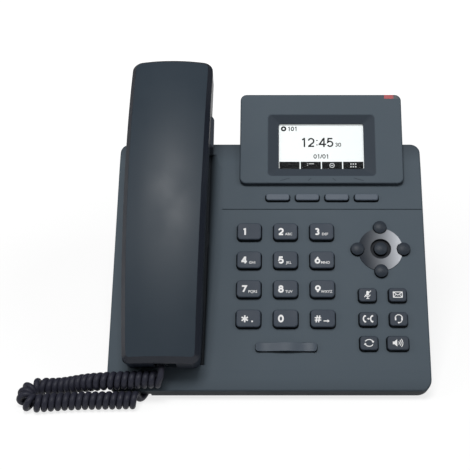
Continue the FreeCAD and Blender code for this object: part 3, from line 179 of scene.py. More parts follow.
def shade(colour, factor):
    """Lighter or darker copy of a linear colour."""
    return (*[min(c * factor, 1.0) for c in colour[:3]], 1.0)


# Materials

# Painted shade: near-black on the walls of the keys below their faces
KEY_WALL_SHADE = srgb(14, 17, 21)
HOUSING_GREY = srgb(82, 93, 102)
# Painted shade inside the navigation well
NAV_WELL_SHADE = srgb(40, 43, 49)


class Graph:
    """Node tree of one material with short calls to add and join nodes."""

    def __init__(self, name, material=None):
        self.material = material or bpy.data.materials.new(name)
        self.material.use_nodes = True
        self.tree = self.material.node_tree
        self.shader = self.tree.nodes["Principled BSDF"]
        self.coordinates = self.add("ShaderNodeTexCoord")
        self.place = self.coordinates.outputs["Object"]

    def add(self, kind, **inputs):
        node = self.tree.nodes.new(kind)
        for name, value in inputs.items():
            socket = node.inputs[name.replace("_", " ").title()]
            self.put(value, socket)
        return node

    def put(self, value, socket):
        if isinstance(value, bpy.types.NodeSocket):
            self.tree.links.new(value, socket)
        else:
            socket.default_value = value

    def paint(self, colour):
        self.put(colour, self.shader.inputs["Base Color"])

    def paint_below(self, kept, under):
        """Keep the paint where kept is 1, and show another colour where it is 0."""
        painted = self.shader.inputs["Base Color"].links[0].from_socket
        self.paint(self.mix(kept, under, painted))

    def roughen(self, value, low, high, start=0.3, end=0.7):
        """Roughness from low to high over the middle of a noise."""
        self.put(self.spread(value, start, end, low, high), self.shader.inputs["Roughness"])

    def specular(self, level):
        self.shader.inputs["Specular IOR Level"].default_value = level

    def vector(self, operation, *values):
        """Outputs of a calculation with vectors."""
        node = self.tree.nodes.new("ShaderNodeVectorMath")
        node.operation = operation
        for value, socket in zip(values, node.inputs):
            self.put(value, socket)
        return node.outputs

    def number(self, operation, first, second):
        """Result of a calculation with two numbers."""
        node = self.tree.nodes.new("ShaderNodeMath")
        node.operation = operation
        self.put(first, node.inputs[0])
        self.put(second, node.inputs[1])
        return node.outputs["Value"]

    def across(self):
        """Place across the object, in metres."""
        node = self.tree.nodes.new("ShaderNodeSeparateXYZ")
        self.put(self.place, node.inputs[0])
        return node.outputs["X"]

    def noise(self, scale, detail=3.0):
        node = self.add("ShaderNodeTexNoise", vector=self.place, scale=scale, detail=detail, roughness=0.55)
        return node.outputs["Fac"]

    def spread(self, value, low, high, out_low, out_high):
        node = self.add("ShaderNodeMapRange")
        limits = {"From Min": low, "From Max": high, "To Min": out_low, "To Max": out_high}
        for name, limit in limits.items():
            node.inputs[name].default_value = limit
        self.put(value, node.inputs["Value"])
        return node.outputs["Result"]

    def mix(self, factor, first, second):
        node = self.tree.nodes.new("ShaderNodeMix")
        node.data_type = "RGBA"
        self.put(factor, node.inputs[0])
        self.put(first, node.inputs[6])
        self.put(second, node.inputs[7])
        return node.outputs[2]

    def edge(self, radius):
        """0 on flat stretches, rising towards 1 where the surface turns sharply, with the softened normal."""
        bevel = self.tree.nodes.new("ShaderNodeBevel")
        bevel.samples = 4
        bevel.inputs["Radius"].default_value = radius
        soft = bevel.outputs["Normal"]
        geometry = self.tree.nodes.new("ShaderNodeNewGeometry")
        turn = self.vector("DOT_PRODUCT", soft, geometry.outputs["Normal"])["Value"]
        return self.spread(turn, *EDGE_TURN, 0.0, 1.0), soft

    def off_axis(self, at):
        """Distance from the line that stands square on the plate at a point of it."""
        offset = self.vector("SUBTRACT", self.place, plate(*at))["Vector"]
        aside = self.vector("CROSS_PRODUCT", offset, PLATE_NORMAL)["Vector"]
        return self.vector("LENGTH", aside)["Value"]

    def camera_rays(self):
        """1 for what the camera sees directly, mirrored or through glass, and 0 for light on the object."""
        path = self.tree.nodes.new("ShaderNodeLightPath").outputs
        seen = path["Is Camera Ray"]
        for name in ("Is Glossy Ray", "Is Transmission Ray"):
            seen = self.number("MAXIMUM", seen, path[name])
        return seen

    def bump(self, height, strength, distance, normal=None):
        node = self.add("ShaderNodeBump", height=height)
        node.inputs["Strength"].default_value = strength
        node.inputs["Distance"].default_value = distance
        if normal is not None:
            self.put(normal, node.inputs["Normal"])
        self.put(node.outputs["Normal"], self.shader.inputs["Normal"])


def moulded(name, colour, roughness, grain=3200.0, depth=0.25, wear=1.35, specular=0.5, cloud=0.05):
    """Spark-textured plastic: faint cloudy colour, fine pebbled bump, edges rubbed a little lighter."""
    graph = Graph(name)
    clouds = graph.noise(45.0, 4.0)
    pebbles = graph.noise(grain, 2.0)
    base = graph.mix(clouds, shade(colour, 1 - cloud), shade(colour, 1 + cloud))
    rubbed, soft = graph.edge(WEAR_RADIUS)
    rubbed_here = graph.number("MULTIPLY", rubbed, graph.noise(220.0))
    graph.paint(graph.mix(rubbed_here, base, shade(colour, wear)))
    graph.roughen(clouds, roughness - 0.05, roughness + 0.05)
    graph.specular(specular)
    graph.bump(pebbles, depth, PEBBLE_HEIGHT, soft)
    return graph.material


def darken_below(material, tilt, face, fade, dark):
    """Let a material turn dark below a face: between two heights along the face's normal, in millimetres."""
    graph = Graph(material.name, material)
    normal = Vector((0.0, -math.sin(tilt), math.cos(tilt)))
    height = graph.vector("DOT_PRODUCT", graph.place, normal)["Value"]
    level = plate(*face).dot(normal)
    start, end = fade
    graph.paint_below(graph.spread(height, level + end * MM, level + start * MM, 0.0, 1.0), dark)
    return material


def darken_sides(material, dark):
    """Painted shade: let a material turn dark on the bevels and walls that look away from the plate's own
    direction.
    """
    graph = Graph(material.name, material)
    facing = graph.vector("DOT_PRODUCT", graph.coordinates.outputs["Normal"], PLATE_NORMAL)["Value"]
    graph.paint_below(graph.spread(facing, *SIDE_FACING, 0.0, 1.0), dark)


def darken_well(material):
    """Painted shade: let a material turn dark inside the navigation well and at its rim."""
    graph = Graph(material.name, material)
    inner, outer = [(NAV_WELL_RADIUS + rim) * MM for rim in NAV_RIM]
    outside = graph.spread(graph.off_axis((*NAV_CENTRE, 0)), inner, outer, 0.0, 1.0)
    graph.paint_below(outside, NAV_WELL_SHADE)
    return material


def key_plastic(name, colour, top, roughness):
    """Key whose face colour stops just below its edge, with near-black painted shade on its walls below."""
    material = moulded(name, colour, roughness, grain=4200.0, depth=0.12, cloud=0.03, specular=0.2)
    return darken_below(material, SLOPE, (0, 0, top), KEY_SHADE_END, KEY_WALL_SHADE)


def ink(name, colour):
    """Matt screen print with a little unevenness."""
    graph = Graph(name)
    cover = graph.noise(1800.0)
    graph.paint(graph.mix(cover, shade(colour, 0.97), colour))
    graph.roughen(cover, 0.6, 0.7)
    graph.specular(0.05)
    return graph.material


def clear_plastic(name, colour, alpha, roughness):
    """Thin clear plastic with faint scuffs."""
    graph = Graph(name)
    scuffs = graph.noise(400.0, 4.0)
    graph.paint(graph.mix(scuffs, shade(colour, 0.94), colour))
    graph.roughen(scuffs, roughness, roughness + 0.08, 0.4, 0.8)
    graph.shader.inputs["Alpha"].default_value = alpha
    graph.bump(scuffs, 0.05, 0.00002)
    return graph.material


def backlit_glass():
    """White liquid-crystal panel, evenly lit from behind, with a fine grain."""
    graph = Graph("lcd_backlit")
    colour = srgb(214, 220, 220)
    cells = graph.noise(1500.0, 1.0)
    base = graph.mix(cells, shade(colour, 0.96), colour)
    graph.paint(base)
    graph.put(base, graph.shader.inputs["Emission Color"])
    graph.shader.inputs["Emission Strength"].default_value = 0.45
    graph.roughen(cells, 0.3, 0.4)
    graph.bump(cells, 0.05, 0.00002)
    return graph.material


def red_lens():
    """Frosted red lamp lens, masked at its outer end in the hood's grey, darkened there as painted shade."""
    graph = Graph("lamp_red_lens")
    colour = srgb(178, 62, 68)
    frost = graph.noise(900.0)
    red = graph.mix(frost, shade(colour, 0.85), shade(colour, 1.15))
    ends = [end * MM for end in LAMP_MASK]
    masked = graph.spread(graph.across(), *ends, 0.0, 1.0)
    # The mask is the hood's grey, darkened as painted shade
    graph.paint(graph.mix(masked, red, shade(HOUSING_GREY, 0.6)))
    graph.roughen(frost, 0.4, 0.5)
    graph.bump(frost, 0.1, 0.00004)
    return graph.material


def satin_metal(name, colour, roughness):
    """Satin metal with fine marks."""
    graph = Graph(name)
    marks = graph.noise(1400.0)
    clouds = graph.noise(60.0)
    graph.paint(graph.mix(clouds, shade(colour, 0.92), shade(colour, 1.06)))
    graph.roughen(marks, roughness - 0.05, roughness + 0.06)
    graph.shader.inputs["Metallic"].default_value = 1.0
    graph.bump(marks, 0.08, FINE_HEIGHT)
    return graph.material


def painted_reflection_disc():
    """Satin navigation disc with a painted reflection of a light on its right, running from slate to silver
    across it.
    """
    graph = Graph("nav_painted_reflection")
    marks = graph.noise(1400.0)
    ends = [(NAV_CENTRE[0] + side * NAV_DISC_RADIUS) * MM for side in (-1, 1)]
    tone = graph.spread(graph.across(), *ends, 0.0, 1.0)
    silver = graph.mix(graph.number("POWER", tone, 2.0), srgb(30, 38, 48), srgb(224, 228, 235))
    graph.paint(silver)
    graph.roughen(marks, 0.4, 0.5)
    graph.specular(0.12)
    graph.bump(marks, 0.08, FINE_HEIGHT)
    return darken_well(graph.material)


def circuit_board():
    """Green solder resist with paler lines for the tracks below it."""
    graph = Graph("board_green_resist")
    tracks = graph.add("ShaderNodeTexBrick", vector=graph.place, scale=160.0)
    tracks.inputs["Color1"].default_value = srgb(24, 84, 52)
    tracks.inputs["Color2"].default_value = srgb(30, 96, 60)
    tracks.inputs["Mortar"].default_value = srgb(58, 128, 80)
    graph.paint(tracks.outputs["Color"])
    graph.roughen(graph.noise(800.0), 0.3, 0.45)
    graph.bump(tracks.outputs["Fac"], 0.2, 0.00004)
    return graph.material


def node_materials():
    """Each CAD node's material, by the node's name."""
    plate_grey = moulded("plate_grey_texture", HOUSING_GREY, 0.6, specular=0.15, cloud=0.03)
    # Painted shade in the plate's trough and creases and on its walls below the face
    darken_below(plate_grey, SLOPE, (0, 0, 0), PLATE_SHADE_END, srgb(40, 45, 51))
    # Painted shade in the navigation well and at its rim
    darken_well(plate_grey)
    hood = moulded("hood_grey_texture", HOUSING_GREY, 0.6, specular=0.15, cloud=0.03)
    # The hood turns darker in its display recess and on its walls below the face
    darken_below(hood, SLOPE + HOOD_TILT, (0, HOOD_BOTTOM, HOOD_LOW), HOOD_DARK_END, srgb(60, 68, 77))
    case_dark = moulded("case_dark_texture", srgb(46, 51, 58), 0.6, specular=0.2)
    riser = moulded("riser_dark_texture", srgb(74, 81, 91), 0.5, specular=0.2)
    handset = moulded("handset_slate_satin", srgb(47, 58, 68), 0.46, grain=4200.0, depth=0.1, cloud=0.02,
                      specular=0.34, wear=1.1)
    # Painted shade on the handset's bevels and walls that face away from the plate
    darken_sides(handset, srgb(20, 27, 40))
    key = key_plastic("key_grey_satin", srgb(60, 69, 81), DIAL_HEIGHT, 0.5)
    function_key = key_plastic("function_key_grey_satin", srgb(57, 65, 76), FUNCTION_HEIGHT, 0.5)
    soft_key = key_plastic("soft_key_pale_satin", srgb(87, 97, 109), SOFT_HEIGHT, 0.45)
    nav = key_plastic("nav_button_satin", srgb(48, 55, 64), NAV_FACE_TOP, 0.42)
    rocker = key_plastic("rocker_satin", srgb(74, 84, 95), ROCKER_FACE_TOP, 0.36)
    silver = painted_reflection_disc()
    window = clear_plastic("window_clear_acrylic", srgb(28, 32, 36), 0.03, 0.08)
    lcd = backlit_glass()
    lamp = red_lens()
    silicone = moulded("silicone_grey_rubber", srgb(120, 122, 124), 0.65, grain=2000.0, depth=0.2)
    board = circuit_board()
    speaker = moulded("speaker_black_paper", srgb(26, 26, 28), 0.75, grain=1200.0, depth=0.5)
    socket = moulded("socket_black_nylon", srgb(24, 25, 27), 0.5)
    steel = satin_metal("screw_steel_plated", srgb(150, 152, 156), 0.32)
    rubber = moulded("foot_rubber_matt", srgb(34, 34, 36), 0.8, grain=1800.0, depth=0.4)
    plug = clear_plastic("plug_clear_polycarbonate", srgb(60, 62, 68), 0.75, 0.15)
    by_node = {
        "upper_housing": plate_grey, "lower_housing": case_dark, "cradle_riser": riser,
        "display_bezel": hood, "display_rear_cover": case_dark, "display_window": window,
        "lcd_panel": lcd, "message_lamp_lens": lamp, "nav_ring": silver, "keypad_membrane": silicone,
        "main_board": board, "loudspeaker": speaker, "housing_screws": steel, "front_feet": rubber,
        "desk_stand": case_dark, "stand_feet": rubber, "handset_back_shell": handset,
        "handset_face_shell": handset, "earpiece_receiver": speaker, "handset_microphone": speaker,
        "handset_jack": socket, "hook_plunger": riser, "volume_rocker": rocker,
        "cord_plug_handset": plug, "cord_plug_base": plug,
    }
    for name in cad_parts:
        if name.startswith("key_"):
            by_node[name] = key
        if name.startswith("soft_key"):
            by_node[name] = soft_key
        if name.startswith("nav_") and name != "nav_ring":
            by_node[name] = nav
        if name.endswith("_key"):
            by_node[name] = function_key
        if name.endswith("_socket"):
            by_node[name] = socket
    return by_node


def dress_nodes():
    by_node = node_materials()
    for name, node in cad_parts.items():
        if name in by_node:
            node.data.materials.clear()
            node.data.materials.append(by_node[name])


# Curly cord


def spline_points(points, resolution):
    """Points along a smooth spline that has the given points as its controls."""
    curve = bpy.data.curves.new("route", "CURVE")
    curve.dimensions = "3D"
    spline = curve.splines.new("NURBS")
    spline.points.add(len(points) - 1)
    for slot, point in zip(spline.points, points):
        slot.co = (*point, 1.0)
    spline.order_u = 3
    spline.use_endpoint_u = True
    spline.resolution_u = resolution
    route = bpy.data.objects.new("route", curve)
    bpy.context.scene.collection.objects.link(route)
    mesh = bpy.data.meshes.new_from_object(route)
    line = [vertex.co.copy() for vertex in mesh.vertices]
    bpy.data.objects.remove(route)
    bpy.data.meshes.remove(mesh)
    bpy.data.curves.remove(curve)
    return line


def curl_controls(axis):
    """Control points of the curls round the axis, fanned out where it bends, ending on a whole turn."""
    turns = [0.0]
    last = len(axis) - 1
    for i in range(1, len(axis)):
        step = (axis[i] - axis[i - 1]).length
        before = axis[i] - axis[max(i - CURL_WINDOW, 0)]
        after = axis[min(i + CURL_WINDOW, last)] - axis[min(i, last - 1)]
        bend = 2 * before.angle(after, 0.0) / (before.length + after.length)
        density = 1 - CURL_FANNING * bend * CURL_RADIUS * MM
        turns.append(turns[-1] + step * density / (CURL_PITCH * MM))
    count = int(turns[-1])
    scale = count / turns[-1]
    reach = CURL_RADIUS * MM / math.cos(math.pi / CURL_STEPS)
    controls = []
    wanted = 0
    for i in range(len(axis)):
        if turns[i] * scale * CURL_STEPS < wanted - 1e-9:
            continue
        tangent = (axis[min(i + 1, last)] - axis[max(i - 1, 0)]).normalized()
        across = tangent.cross(Vector((0, 0, 1))).normalized()
        up = across.cross(tangent).normalized()
        angle = -2 * math.pi * turns[i] * scale - math.pi / 2
        controls.append(axis[i] + up * (reach * math.cos(angle)) + across * (reach * math.sin(angle)))
        wanted += 1
    return controls


def tube(name, line, radius, sides):
    """Mesh tube along a line, with its rings carried along without twist and closed ends."""
    mesh = bmesh.new()
    way = (line[1] - line[0]).normalized()
    side = way.orthogonal().normalized()
    rings = []
    for i, point in enumerate(line):
        ahead = (line[min(i + 1, len(line) - 1)] - line[max(i - 1, 0)]).normalized()
        side = (side - ahead * side.dot(ahead)).normalized()
        other = ahead.cross(side)
        ring = []
        for k in range(sides):
            angle = 2 * math.pi * k / sides
            ring.append(mesh.verts.new(point + (side * math.cos(angle) + other * math.sin(angle)) * radius))
        rings.append(ring)
    for low, high in zip(rings, rings[1:]):
        for k in range(sides):
            mesh.faces.new((low[k], low[(k + 1) % sides], high[(k + 1) % sides], high[k]))
    mesh.faces.new(list(reversed(rings[0])))
    mesh.faces.new(rings[-1])
    return finished(name, mesh, smooth=True)


def finished(name, mesh, smooth=False):
    """Object made from a bmesh."""
    data = bpy.data.meshes.new(name)
    mesh.to_mesh(data)
    mesh.free()
    for face in data.polygons:
        face.use_smooth = smooth
    piece = bpy.data.objects.new(name, data)
    bpy.context.scene.collection.objects.link(piece)
    return piece


def make_cord():
    """Curly cord in two lengths: the one the handset lifts, and the one that stays on the desk."""
    axis = spline_points([desk(*point) for point in CORD_ROUTE], AXIS_DETAIL)
    controls = [desk(*point) for point in CORD_LEAD] + curl_controls(axis)
    controls += [desk(*point) for point in CORD_TAIL]
    line = spline_points(controls, CURL_DETAIL)
    split = next(i for i, point in enumerate(line) if point.x < CORD_SPLIT * MM)
    lift_line = line[:split + 1]
    desk_line = line[split:]
    material = moulded("cord_charcoal_vinyl", srgb(44, 45, 57), 0.5, grain=2600.0, depth=0.1, specular=0.25)
    desk_run = tube("cord_desk_run", list(reversed(desk_line)), CORD_RADIUS * MM, CORD_SIDES)
    lift_run = tube("cord_lift_run", lift_line, CORD_RADIUS * MM, CORD_SIDES)
    for piece in (desk_run, lift_run):
        piece.data.materials.append(material)
        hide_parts("handset_cord")
    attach(desk_run, "base")
    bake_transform(lift_run)


# Print on the keys and the display


def on_plate(x, y, z):
    """Matrix that lays millimetres out on the plate, with the origin at the point given."""
    return Matrix.Translation(plate(x, y, z)) @ Matrix.Rotation(SLOPE, 4, "X") @ Matrix.Scale(MM, 4)


def on_hood():
    """Matrix that lays millimetres out on the hood's tilted face, from its front edge."""
    return on_plate(0, HOOD_BOTTOM, HOOD_LOW) @ Matrix.Rotation(HOOD_TILT, 4, "X")


def on_panel():
    """The same, on the display panel below the hood's face."""
    return on_hood() @ Matrix.Translation((0, 0, PANEL_DEPTH))


def arc(x, y, radius, start, end, steps=16):
    """Points along an arc, with the angles in degrees."""
    turns = [math.radians(start + (end - start) * i / steps) for i in range(steps + 1)]
    return [(x + radius * math.cos(turn), y + radius * math.sin(turn)) for turn in turns]


def oval(x, y, across, up, steps=28):
    """Points once round an oval, back to the first."""
    turns = [2 * math.pi * i / steps for i in range(steps)]
    points = [(x + across * math.cos(turn), y + up * math.sin(turn)) for turn in turns]
    return points + points[:1]


def box(x0, y0, x1, y1):
    return [(x0, y0), (x1, y0), (x1, y1), (x0, y1)]


class Print:
    """Thin raised print of one colour, gathered from words, filled outlines and strokes in millimetres.
    Each lies a hair above the one before it, so that no two faces share a plane."""

    def __init__(self):
        self.mesh = bmesh.new()
        self.layers = 0

    def take(self, curve):
        curve.extrude = PRINT_DEPTH / 2 + self.layers * LAYER_STEP
        self.layers += 1
        curve.dimensions = "2D"
        curve.fill_mode = "BOTH"
        holder = bpy.data.objects.new("print", curve)
        bpy.context.scene.collection.objects.link(holder)
        made = bpy.data.meshes.new_from_object(holder)
        self.mesh.from_mesh(made)
        bpy.data.objects.remove(holder)
        bpy.data.meshes.remove(made)

    def words(self, body, x, y, height, weight):
        """Words with their baseline at y, as tall as height in capitals, thickened by weight."""
        curve = bpy.data.curves.new("words", "FONT")
        curve.body = body
        curve.align_x = "CENTER"
        curve.size = height / CAP_RATIO
        curve.offset = weight
        curve.offset_x = x
        curve.offset_y = y
        self.take(curve)
        bpy.data.curves.remove(curve)

    def fill(self, *outlines):
        """Filled outlines; an outline inside another one is a hole."""
        curve = bpy.data.curves.new("outlines", "CURVE")
        for points in outlines:
            spline = curve.splines.new("POLY")
            spline.points.add(len(points) - 1)
            for slot, (x, y) in zip(spline.points, points):
                slot.co = (x, y, 0.0, 1.0)
            spline.use_cyclic_u = True
        self.take(curve)
        bpy.data.curves.remove(curve)

    def stroke(self, points, width):
        """Line of even width along the points."""
        ways = [Vector(b) - Vector(a) for a, b in zip(points, points[1:])]
        round_trip = points[0] == points[-1]
        left = []
        right = []
        for i, point in enumerate(points):
            before = ways[i - 1 if round_trip else max(i - 1, 0)].normalized()
            after = ways[i % len(ways) if round_trip else min(i, len(ways) - 1)].normalized()
            middle = (before + after).normalized()
            side = Vector((-middle.y, middle.x)) * (width / 2 / max(middle.dot(after), 0.4))
            left.append(tuple(Vector(point) + side))
            right.append(tuple(Vector(point) - side))
        self.fill(left + right[::-1])

    def done(self, name, matrix, body, material):
        """Lay the print in its place and let it ride on its body."""
        self.mesh.transform(matrix @ Matrix.Translation((0, 0, PRINT_DEPTH / 2)))
        piece = finished(name, self.mesh)
        piece.data.materials.append(material)
        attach(piece, body)


def digit_lines(sign):
    """Lines of a plain geometric figure in a cell one unit tall, standing on zero."""
    return {
        "0": [oval(0, 0.5, 0.33, 0.5)],
        "1": [[(-0.2, 0.84), (0.07, 1.0)], [(0.07, 1.1), (0.07, -0.1)]],
        "2": [arc(0, 0.68, 0.32, 170, -35) + [(-0.3, 0.0)], [(-0.36, 0.0), (0.36, 0.0)]],
        "3": [arc(-0.02, 0.765, 0.235, 155, -90), arc(-0.02, 0.265, 0.265, 90, -150)],
        "4": [[(0.15, -0.1), (0.15, 1.1)], [(0.1, 1.0), (-0.37, 0.28)], [(-0.5, 0.25), (0.42, 0.25)]],
        "5": [[(0.3, 1.0), (-0.2, 1.0), (-0.27, 0.53)] + arc(0, 0.32, 0.32, 115, -150)],
        "6": [oval(0, 0.33, 0.33, 0.33), [(-0.28, 0.48), (0.1, 1.0)]],
        "7": [[(-0.34, 1.0), (0.34, 1.0), (-0.12, 0.0)]],
        "8": [oval(0, 0.77, 0.24, 0.23), oval(0, 0.28, 0.31, 0.28)],
        "9": [oval(0, 0.67, 0.33, 0.33), [(0.28, 0.52), (-0.1, 0.0)]],
        ":": [[(0, 0.12), (0, 0.24)], [(0, 0.7), (0, 0.82)]],
        "/": [[(-0.2, -0.05), (0.2, 1.05)]],
    }[sign]


def figures(sheet, signs, x, y, height, weight):
    """A row of figures centred on x, with its base at y."""
    rise = height - weight
    steps = [FIGURE_STEP * height * (0.6 if sign in ":/" else 1.0) for sign in signs]
    left = x - sum(steps) / 2
    for sign, step in zip(signs, steps):
        middle = left + step / 2
        for line in digit_lines(sign):
            sheet.stroke([(middle + a * rise, y + weight / 2 + b * rise) for a, b in line], weight)
        left += step


def star_sign(sheet, x, y):
    for turn in (30, 90, 150):
        reach = Vector((math.cos(math.radians(turn)), math.sin(math.radians(turn)))) * 2.15
        sheet.stroke([(x - reach.x, y - reach.y), (x + reach.x, y + reach.y)], 0.9)


def hash_sign(sheet, x, y):
    for offset in (-0.72, 0.72):
        sheet.stroke([(x + offset - 0.4, y - 2.1), (x + offset + 0.4, y + 2.1)], 0.72)
        sheet.stroke([(x - 1.9, y + offset), (x + 1.9, y + offset)], 0.68)


def arrow(sheet, x, y, way, reach, head, width):
    """Arrow along x with its tip at the point given, pointing with way 1 or -1."""
    sheet.stroke([(x - way * reach, y), (x - way * head * 0.8, y)], width)
    sheet.fill([(x, y), (x - way * head, y + head * 0.75), (x - way * head, y - head * 0.75)])


def mute_icon(sheet):
    sheet.fill(arc(0, 1.5, 0.8, 0, 180) + arc(0, 0.2, 0.8, 180, 360))
    sheet.stroke(arc(0, 0.3, 1.55, 195, 345), 0.42)
    sheet.stroke([(0, -1.2), (0, -2.3)], 0.5)
    sheet.stroke([(-0.9, -2.4), (0.9, -2.4)], 0.45)
    sheet.stroke([(-2.0, -1.5), (2.0, 2.4)], 0.45)


def message_icon(sheet):
    sheet.fill(box(-2.9, -1.9, 2.9, 1.9), box(-2.4, -1.4, 2.4, 1.4))
    sheet.stroke([(-2.5, 1.5), (0, -0.35), (2.5, 1.5)], 0.45)
    sheet.stroke([(-2.5, -1.5), (-1.1, 0.1)], 0.4)
    sheet.stroke([(2.5, -1.5), (1.1, 0.1)], 0.4)


def receiver_icon(sheet, x):
    """Small handset seen from the side, hollow to the right."""
    sheet.stroke(arc(x + 1.75, 0, 2.2, 130, 230), 0.8)
    for y in (-1.75, 1.75):
        sheet.fill(oval(x + 0.55, y, 0.62, 0.5))


def transfer_icon(sheet):
    receiver_icon(sheet, -2.5)
    receiver_icon(sheet, 1.75)
    arrow(sheet, 0.85, 0.0, 1, 1.7, 0.9, 0.45)


def headset_icon(sheet):
    sheet.stroke(arc(0, 0.4, 2.1, -25, 205, 24), 0.5)
    for side in (-1, 1):
        sheet.fill(box(side * 1.9 - 0.42, -0.9, side * 1.9 + 0.42, 0.8))
    sheet.stroke([(1.85, -0.9), (1.2, -2.0), (0.1, -2.3)], 0.42)
    sheet.fill(oval(-0.1, -2.3, 0.6, 0.45))


def redial_icon(sheet):
    for side in (-1, 1):
        points = [(side * 1.25 * x, side * y) for x, y in arc(0, 0.1, 1.95, 20, 155)]
        sheet.stroke(points, 0.5)
        tip_x, tip_y = points[0]
        sheet.fill([(tip_x + side * 0.15, tip_y - side * 0.9), (tip_x + side * 0.75, tip_y + side * 0.45),
                    (tip_x - side * 0.85, tip_y + side * 0.05)])


def speaker_icon(sheet):
    sheet.fill([(-3.2, -0.8), (-2.2, -0.8), (-0.6, -2.2), (-0.6, 2.2), (-2.2, 0.8), (-3.2, 0.8)])
    for radius in (1.4, 2.45, 3.5):
        sheet.stroke(arc(-0.8, 0, radius, -42, 42), 0.42)


def print_keys(white):
    """Digits and letters on the dial keys and a sign on each function key."""
    for i, name in enumerate(DIAL_NAMES):
        sheet = Print()
        if name == "star":
            star_sign(sheet, -2.1, DIGIT_BASE + 2.2)
            sheet.fill(box(1.8, DIGIT_BASE + 0.2, 2.7, DIGIT_BASE + 1.1))
        elif name == "hash":
            hash_sign(sheet, -3.0, DIGIT_BASE + 2.15)
            arrow(sheet, 3.9, DIGIT_BASE + 0.9, 1, 3.6, 1.3, 0.6)
        else:
            figures(sheet, name, DIGIT_OFFSET, DIGIT_BASE, DIGIT_HEIGHT, DIGIT_WEIGHT)
        letters = DIAL_LETTERS[i]
        if letters:
            shift = LETTER_OFFSET + LETTER_STEP * (len(letters) - 3)
            sheet.words(letters, shift, DIGIT_BASE, LETTER_HEIGHT, LETTER_WEIGHT)
        row, column = divmod(i, 3)
        place = on_plate(DIAL_COLUMNS[column], DIAL_FIRST_ROW - row * DIAL_ROW_PITCH, DIAL_HEIGHT)
        sheet.done("print_key_" + name, place, "key_%s_body" % name, white)
    icons = (("mute_key", mute_icon), ("message_key", message_icon), ("transfer_key", transfer_icon),
             ("headset_key", headset_icon), ("redial_key", redial_icon), ("speaker_key", speaker_icon))
    for i, (name, draw) in enumerate(icons):
        sheet = Print()
        draw(sheet)
        row, column = divmod(i, 2)
        across = SPEAKER_KEY_AT if name == "speaker_key" else FUNCTION_COLUMNS[column]
        place = on_plate(across, FUNCTION_ROWS[row], FUNCTION_HEIGHT)
        sheet.done("print_" + name, place, name + "_body", white)


def print_display(black, pale):
    """A plain clock, a line number and four soft-key cells on the panel."""
    x0, y0, x1, y1 = WINDOW_BOX
    width = x1 - x0
    sheet = Print()
    figures(sheet, "12:45", x0 + 0.45 * width, y0 + 15.4, 6.2, 0.95)
    figures(sheet, "30", x0 + 0.7 * width, y0 + 15.6, 2.7, 0.45)
    figures(sheet, "01/01", x0 + 0.5 * width, y0 + 7.6, 2.9, 0.5)
    figures(sheet, "101", x0 + 8.6, y1 - 4.3, 2.9, 0.5)
    sheet.fill(oval(x0 + 3.0, y1 - 2.8, 1.7, 1.7), oval(x0 + 3.0, y1 - 2.8, 0.7, 0.7))
    cell = width / 4
    for i in range(4):
        left = x0 + i * cell + 0.35
        sheet.fill(box(left, y0 + 0.5, left + cell - 0.7, y0 + 5.4))
    sheet.done("display_ink", on_panel(), "base", black)
    signs = Print()
    middle = y0 + 2.95
    centres = [x0 + (i + 0.5) * cell for i in range(4)]
    signs.stroke(arc(centres[0], middle, 1.5, -30, 270), 0.4)
    signs.stroke([(centres[0], middle + 1.0), (centres[0], middle), (centres[0] + 0.9, middle)], 0.4)
    for row in (-1.1, 0.0, 1.1):
        signs.stroke([(centres[1] - 1.3, middle + row), (centres[1] + 2.0, middle + row)], 0.4)
        signs.fill(box(centres[1] - 2.3, middle + row - 0.25, centres[1] - 1.8, middle + row + 0.25))
    signs.fill(arc(centres[2], middle, 1.6, 0, 360, 24), arc(centres[2], middle, 1.2, 0, 360, 24))
    signs.stroke([(centres[2] - 0.8, middle), (centres[2] + 0.8, middle)], 0.5)
    for column in (-1.5, 0.0, 1.5):
        for row in (-0.9, 0.9):
            signs.fill(box(centres[3] + column - 0.4, middle + row - 0.4, centres[3] + column + 0.4,
                           middle + row + 0.4))
    signs.done("display_signs", on_panel() @ Matrix.Translation((0, 0, 3 * PRINT_DEPTH)), "base", pale)


def print_guides(dark):
    """Fine lines on the hood that lead from the display's cells towards the soft keys."""
    x0, _, x1, _ = WINDOW_BOX
    sheet = Print()
    for i in range(4):
        top = x0 + (i + 0.5) * (x1 - x0) / 4
        bottom = top + 0.8 * (SOFT_FIRST + i * SOFT_PITCH - top)
        sheet.stroke([(top, 3.5), (bottom, 1.7)], 0.3)
    sheet.done("hood_guide_lines", on_hood(), "base", dark)


def make_print():
    white = ink("print_white_ink", srgb(254, 254, 254))
    black = ink("display_ink_black", srgb(12, 14, 16))
    pale = ink("display_signs_pale", srgb(236, 240, 240))
    guide = ink("guide_line_grey", srgb(60, 67, 75))
    print_keys(white)
    print_display(black, pale)
    print_guides(guide)


# Studio


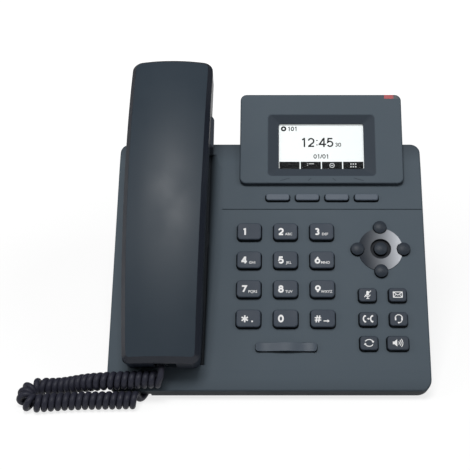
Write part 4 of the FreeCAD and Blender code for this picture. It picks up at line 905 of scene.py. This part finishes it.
def make_floor():
    """Pale desk that runs out to white, and keeps the object's soft shadow."""
    mesh = bmesh.new()
    bmesh.ops.create_grid(mesh, x_segments=2, y_segments=2, size=FLOOR_SIZE)
    floor = finished("floor", mesh)
    graph = Graph("floor_pale")
    greys = [(grey, grey, grey, 1.0) for grey in FLOOR_GREYS]
    graph.paint(graph.mix(graph.noise(3.0), *greys))
    graph.shader.inputs["Roughness"].default_value = 0.9
    graph.specular(0.0)
    away = graph.vector("LENGTH", graph.place)["Value"]
    glow = graph.spread(away, *FLOOR_GLOW_REACH, *FLOOR_GLOW)
    seen_glow = graph.number("MULTIPLY", graph.camera_rays(), glow)
    graph.shader.inputs["Emission Color"].default_value = WHITE
    graph.put(seen_glow, graph.shader.inputs["Emission Strength"])
    floor.data.materials.append(graph.material)


def make_world():
    world = bpy.data.worlds.new("studio")
    bpy.context.scene.world = world
    world.use_nodes = True
    tree = world.node_tree
    background = tree.nodes["Background"]
    background.inputs["Color"].default_value = WHITE
    strength = tree.nodes.new("ShaderNodeMapRange")
    strength.inputs["To Min"].default_value = WORLD_LIGHT
    strength.inputs["To Max"].default_value = WORLD_SEEN
    path = tree.nodes.new("ShaderNodeLightPath")
    tree.links.new(path.outputs["Is Camera Ray"], strength.inputs["Value"])
    tree.links.new(strength.outputs["Result"], background.inputs["Strength"])


def make_lights():
    for name, (at, width, height, power) in LIGHTS.items():
        data = bpy.data.lights.new(name, "AREA")
        data.shape = "RECTANGLE"
        data.size = width
        data.size_y = height
        data.energy = power
        light = bpy.data.objects.new(name, data)
        light.location = at
        light.rotation_euler = (Vector(LIGHT_TARGET) - Vector(at)).to_track_quat("-Z", "Y").to_euler()
        bpy.context.scene.collection.objects.link(light)


def make_camera():
    data = bpy.data.cameras.new("photo_camera")
    data.sensor_width = SENSOR_WIDTH
    data.lens = FOCAL_PIXELS / PHOTO_WIDTH * SENSOR_WIDTH
    data.shift_x = -(AXIS_PIXEL - PHOTO_WIDTH / 2) / PHOTO_WIDTH
    camera = bpy.data.objects.new("photo_camera", data)
    camera.location = plate(*CAMERA_PLACE)
    camera.rotation_euler = (math.pi / 2 - CAMERA_ELEVATION, 0.0, 0.0)
    bpy.context.scene.collection.objects.link(camera)
    bpy.context.scene.camera = camera


make_camera()
make_cord()
dress_nodes()
make_print()
make_floor()
make_world()
make_lights()
bpy.context.scene.view_settings.view_transform = "Standard"
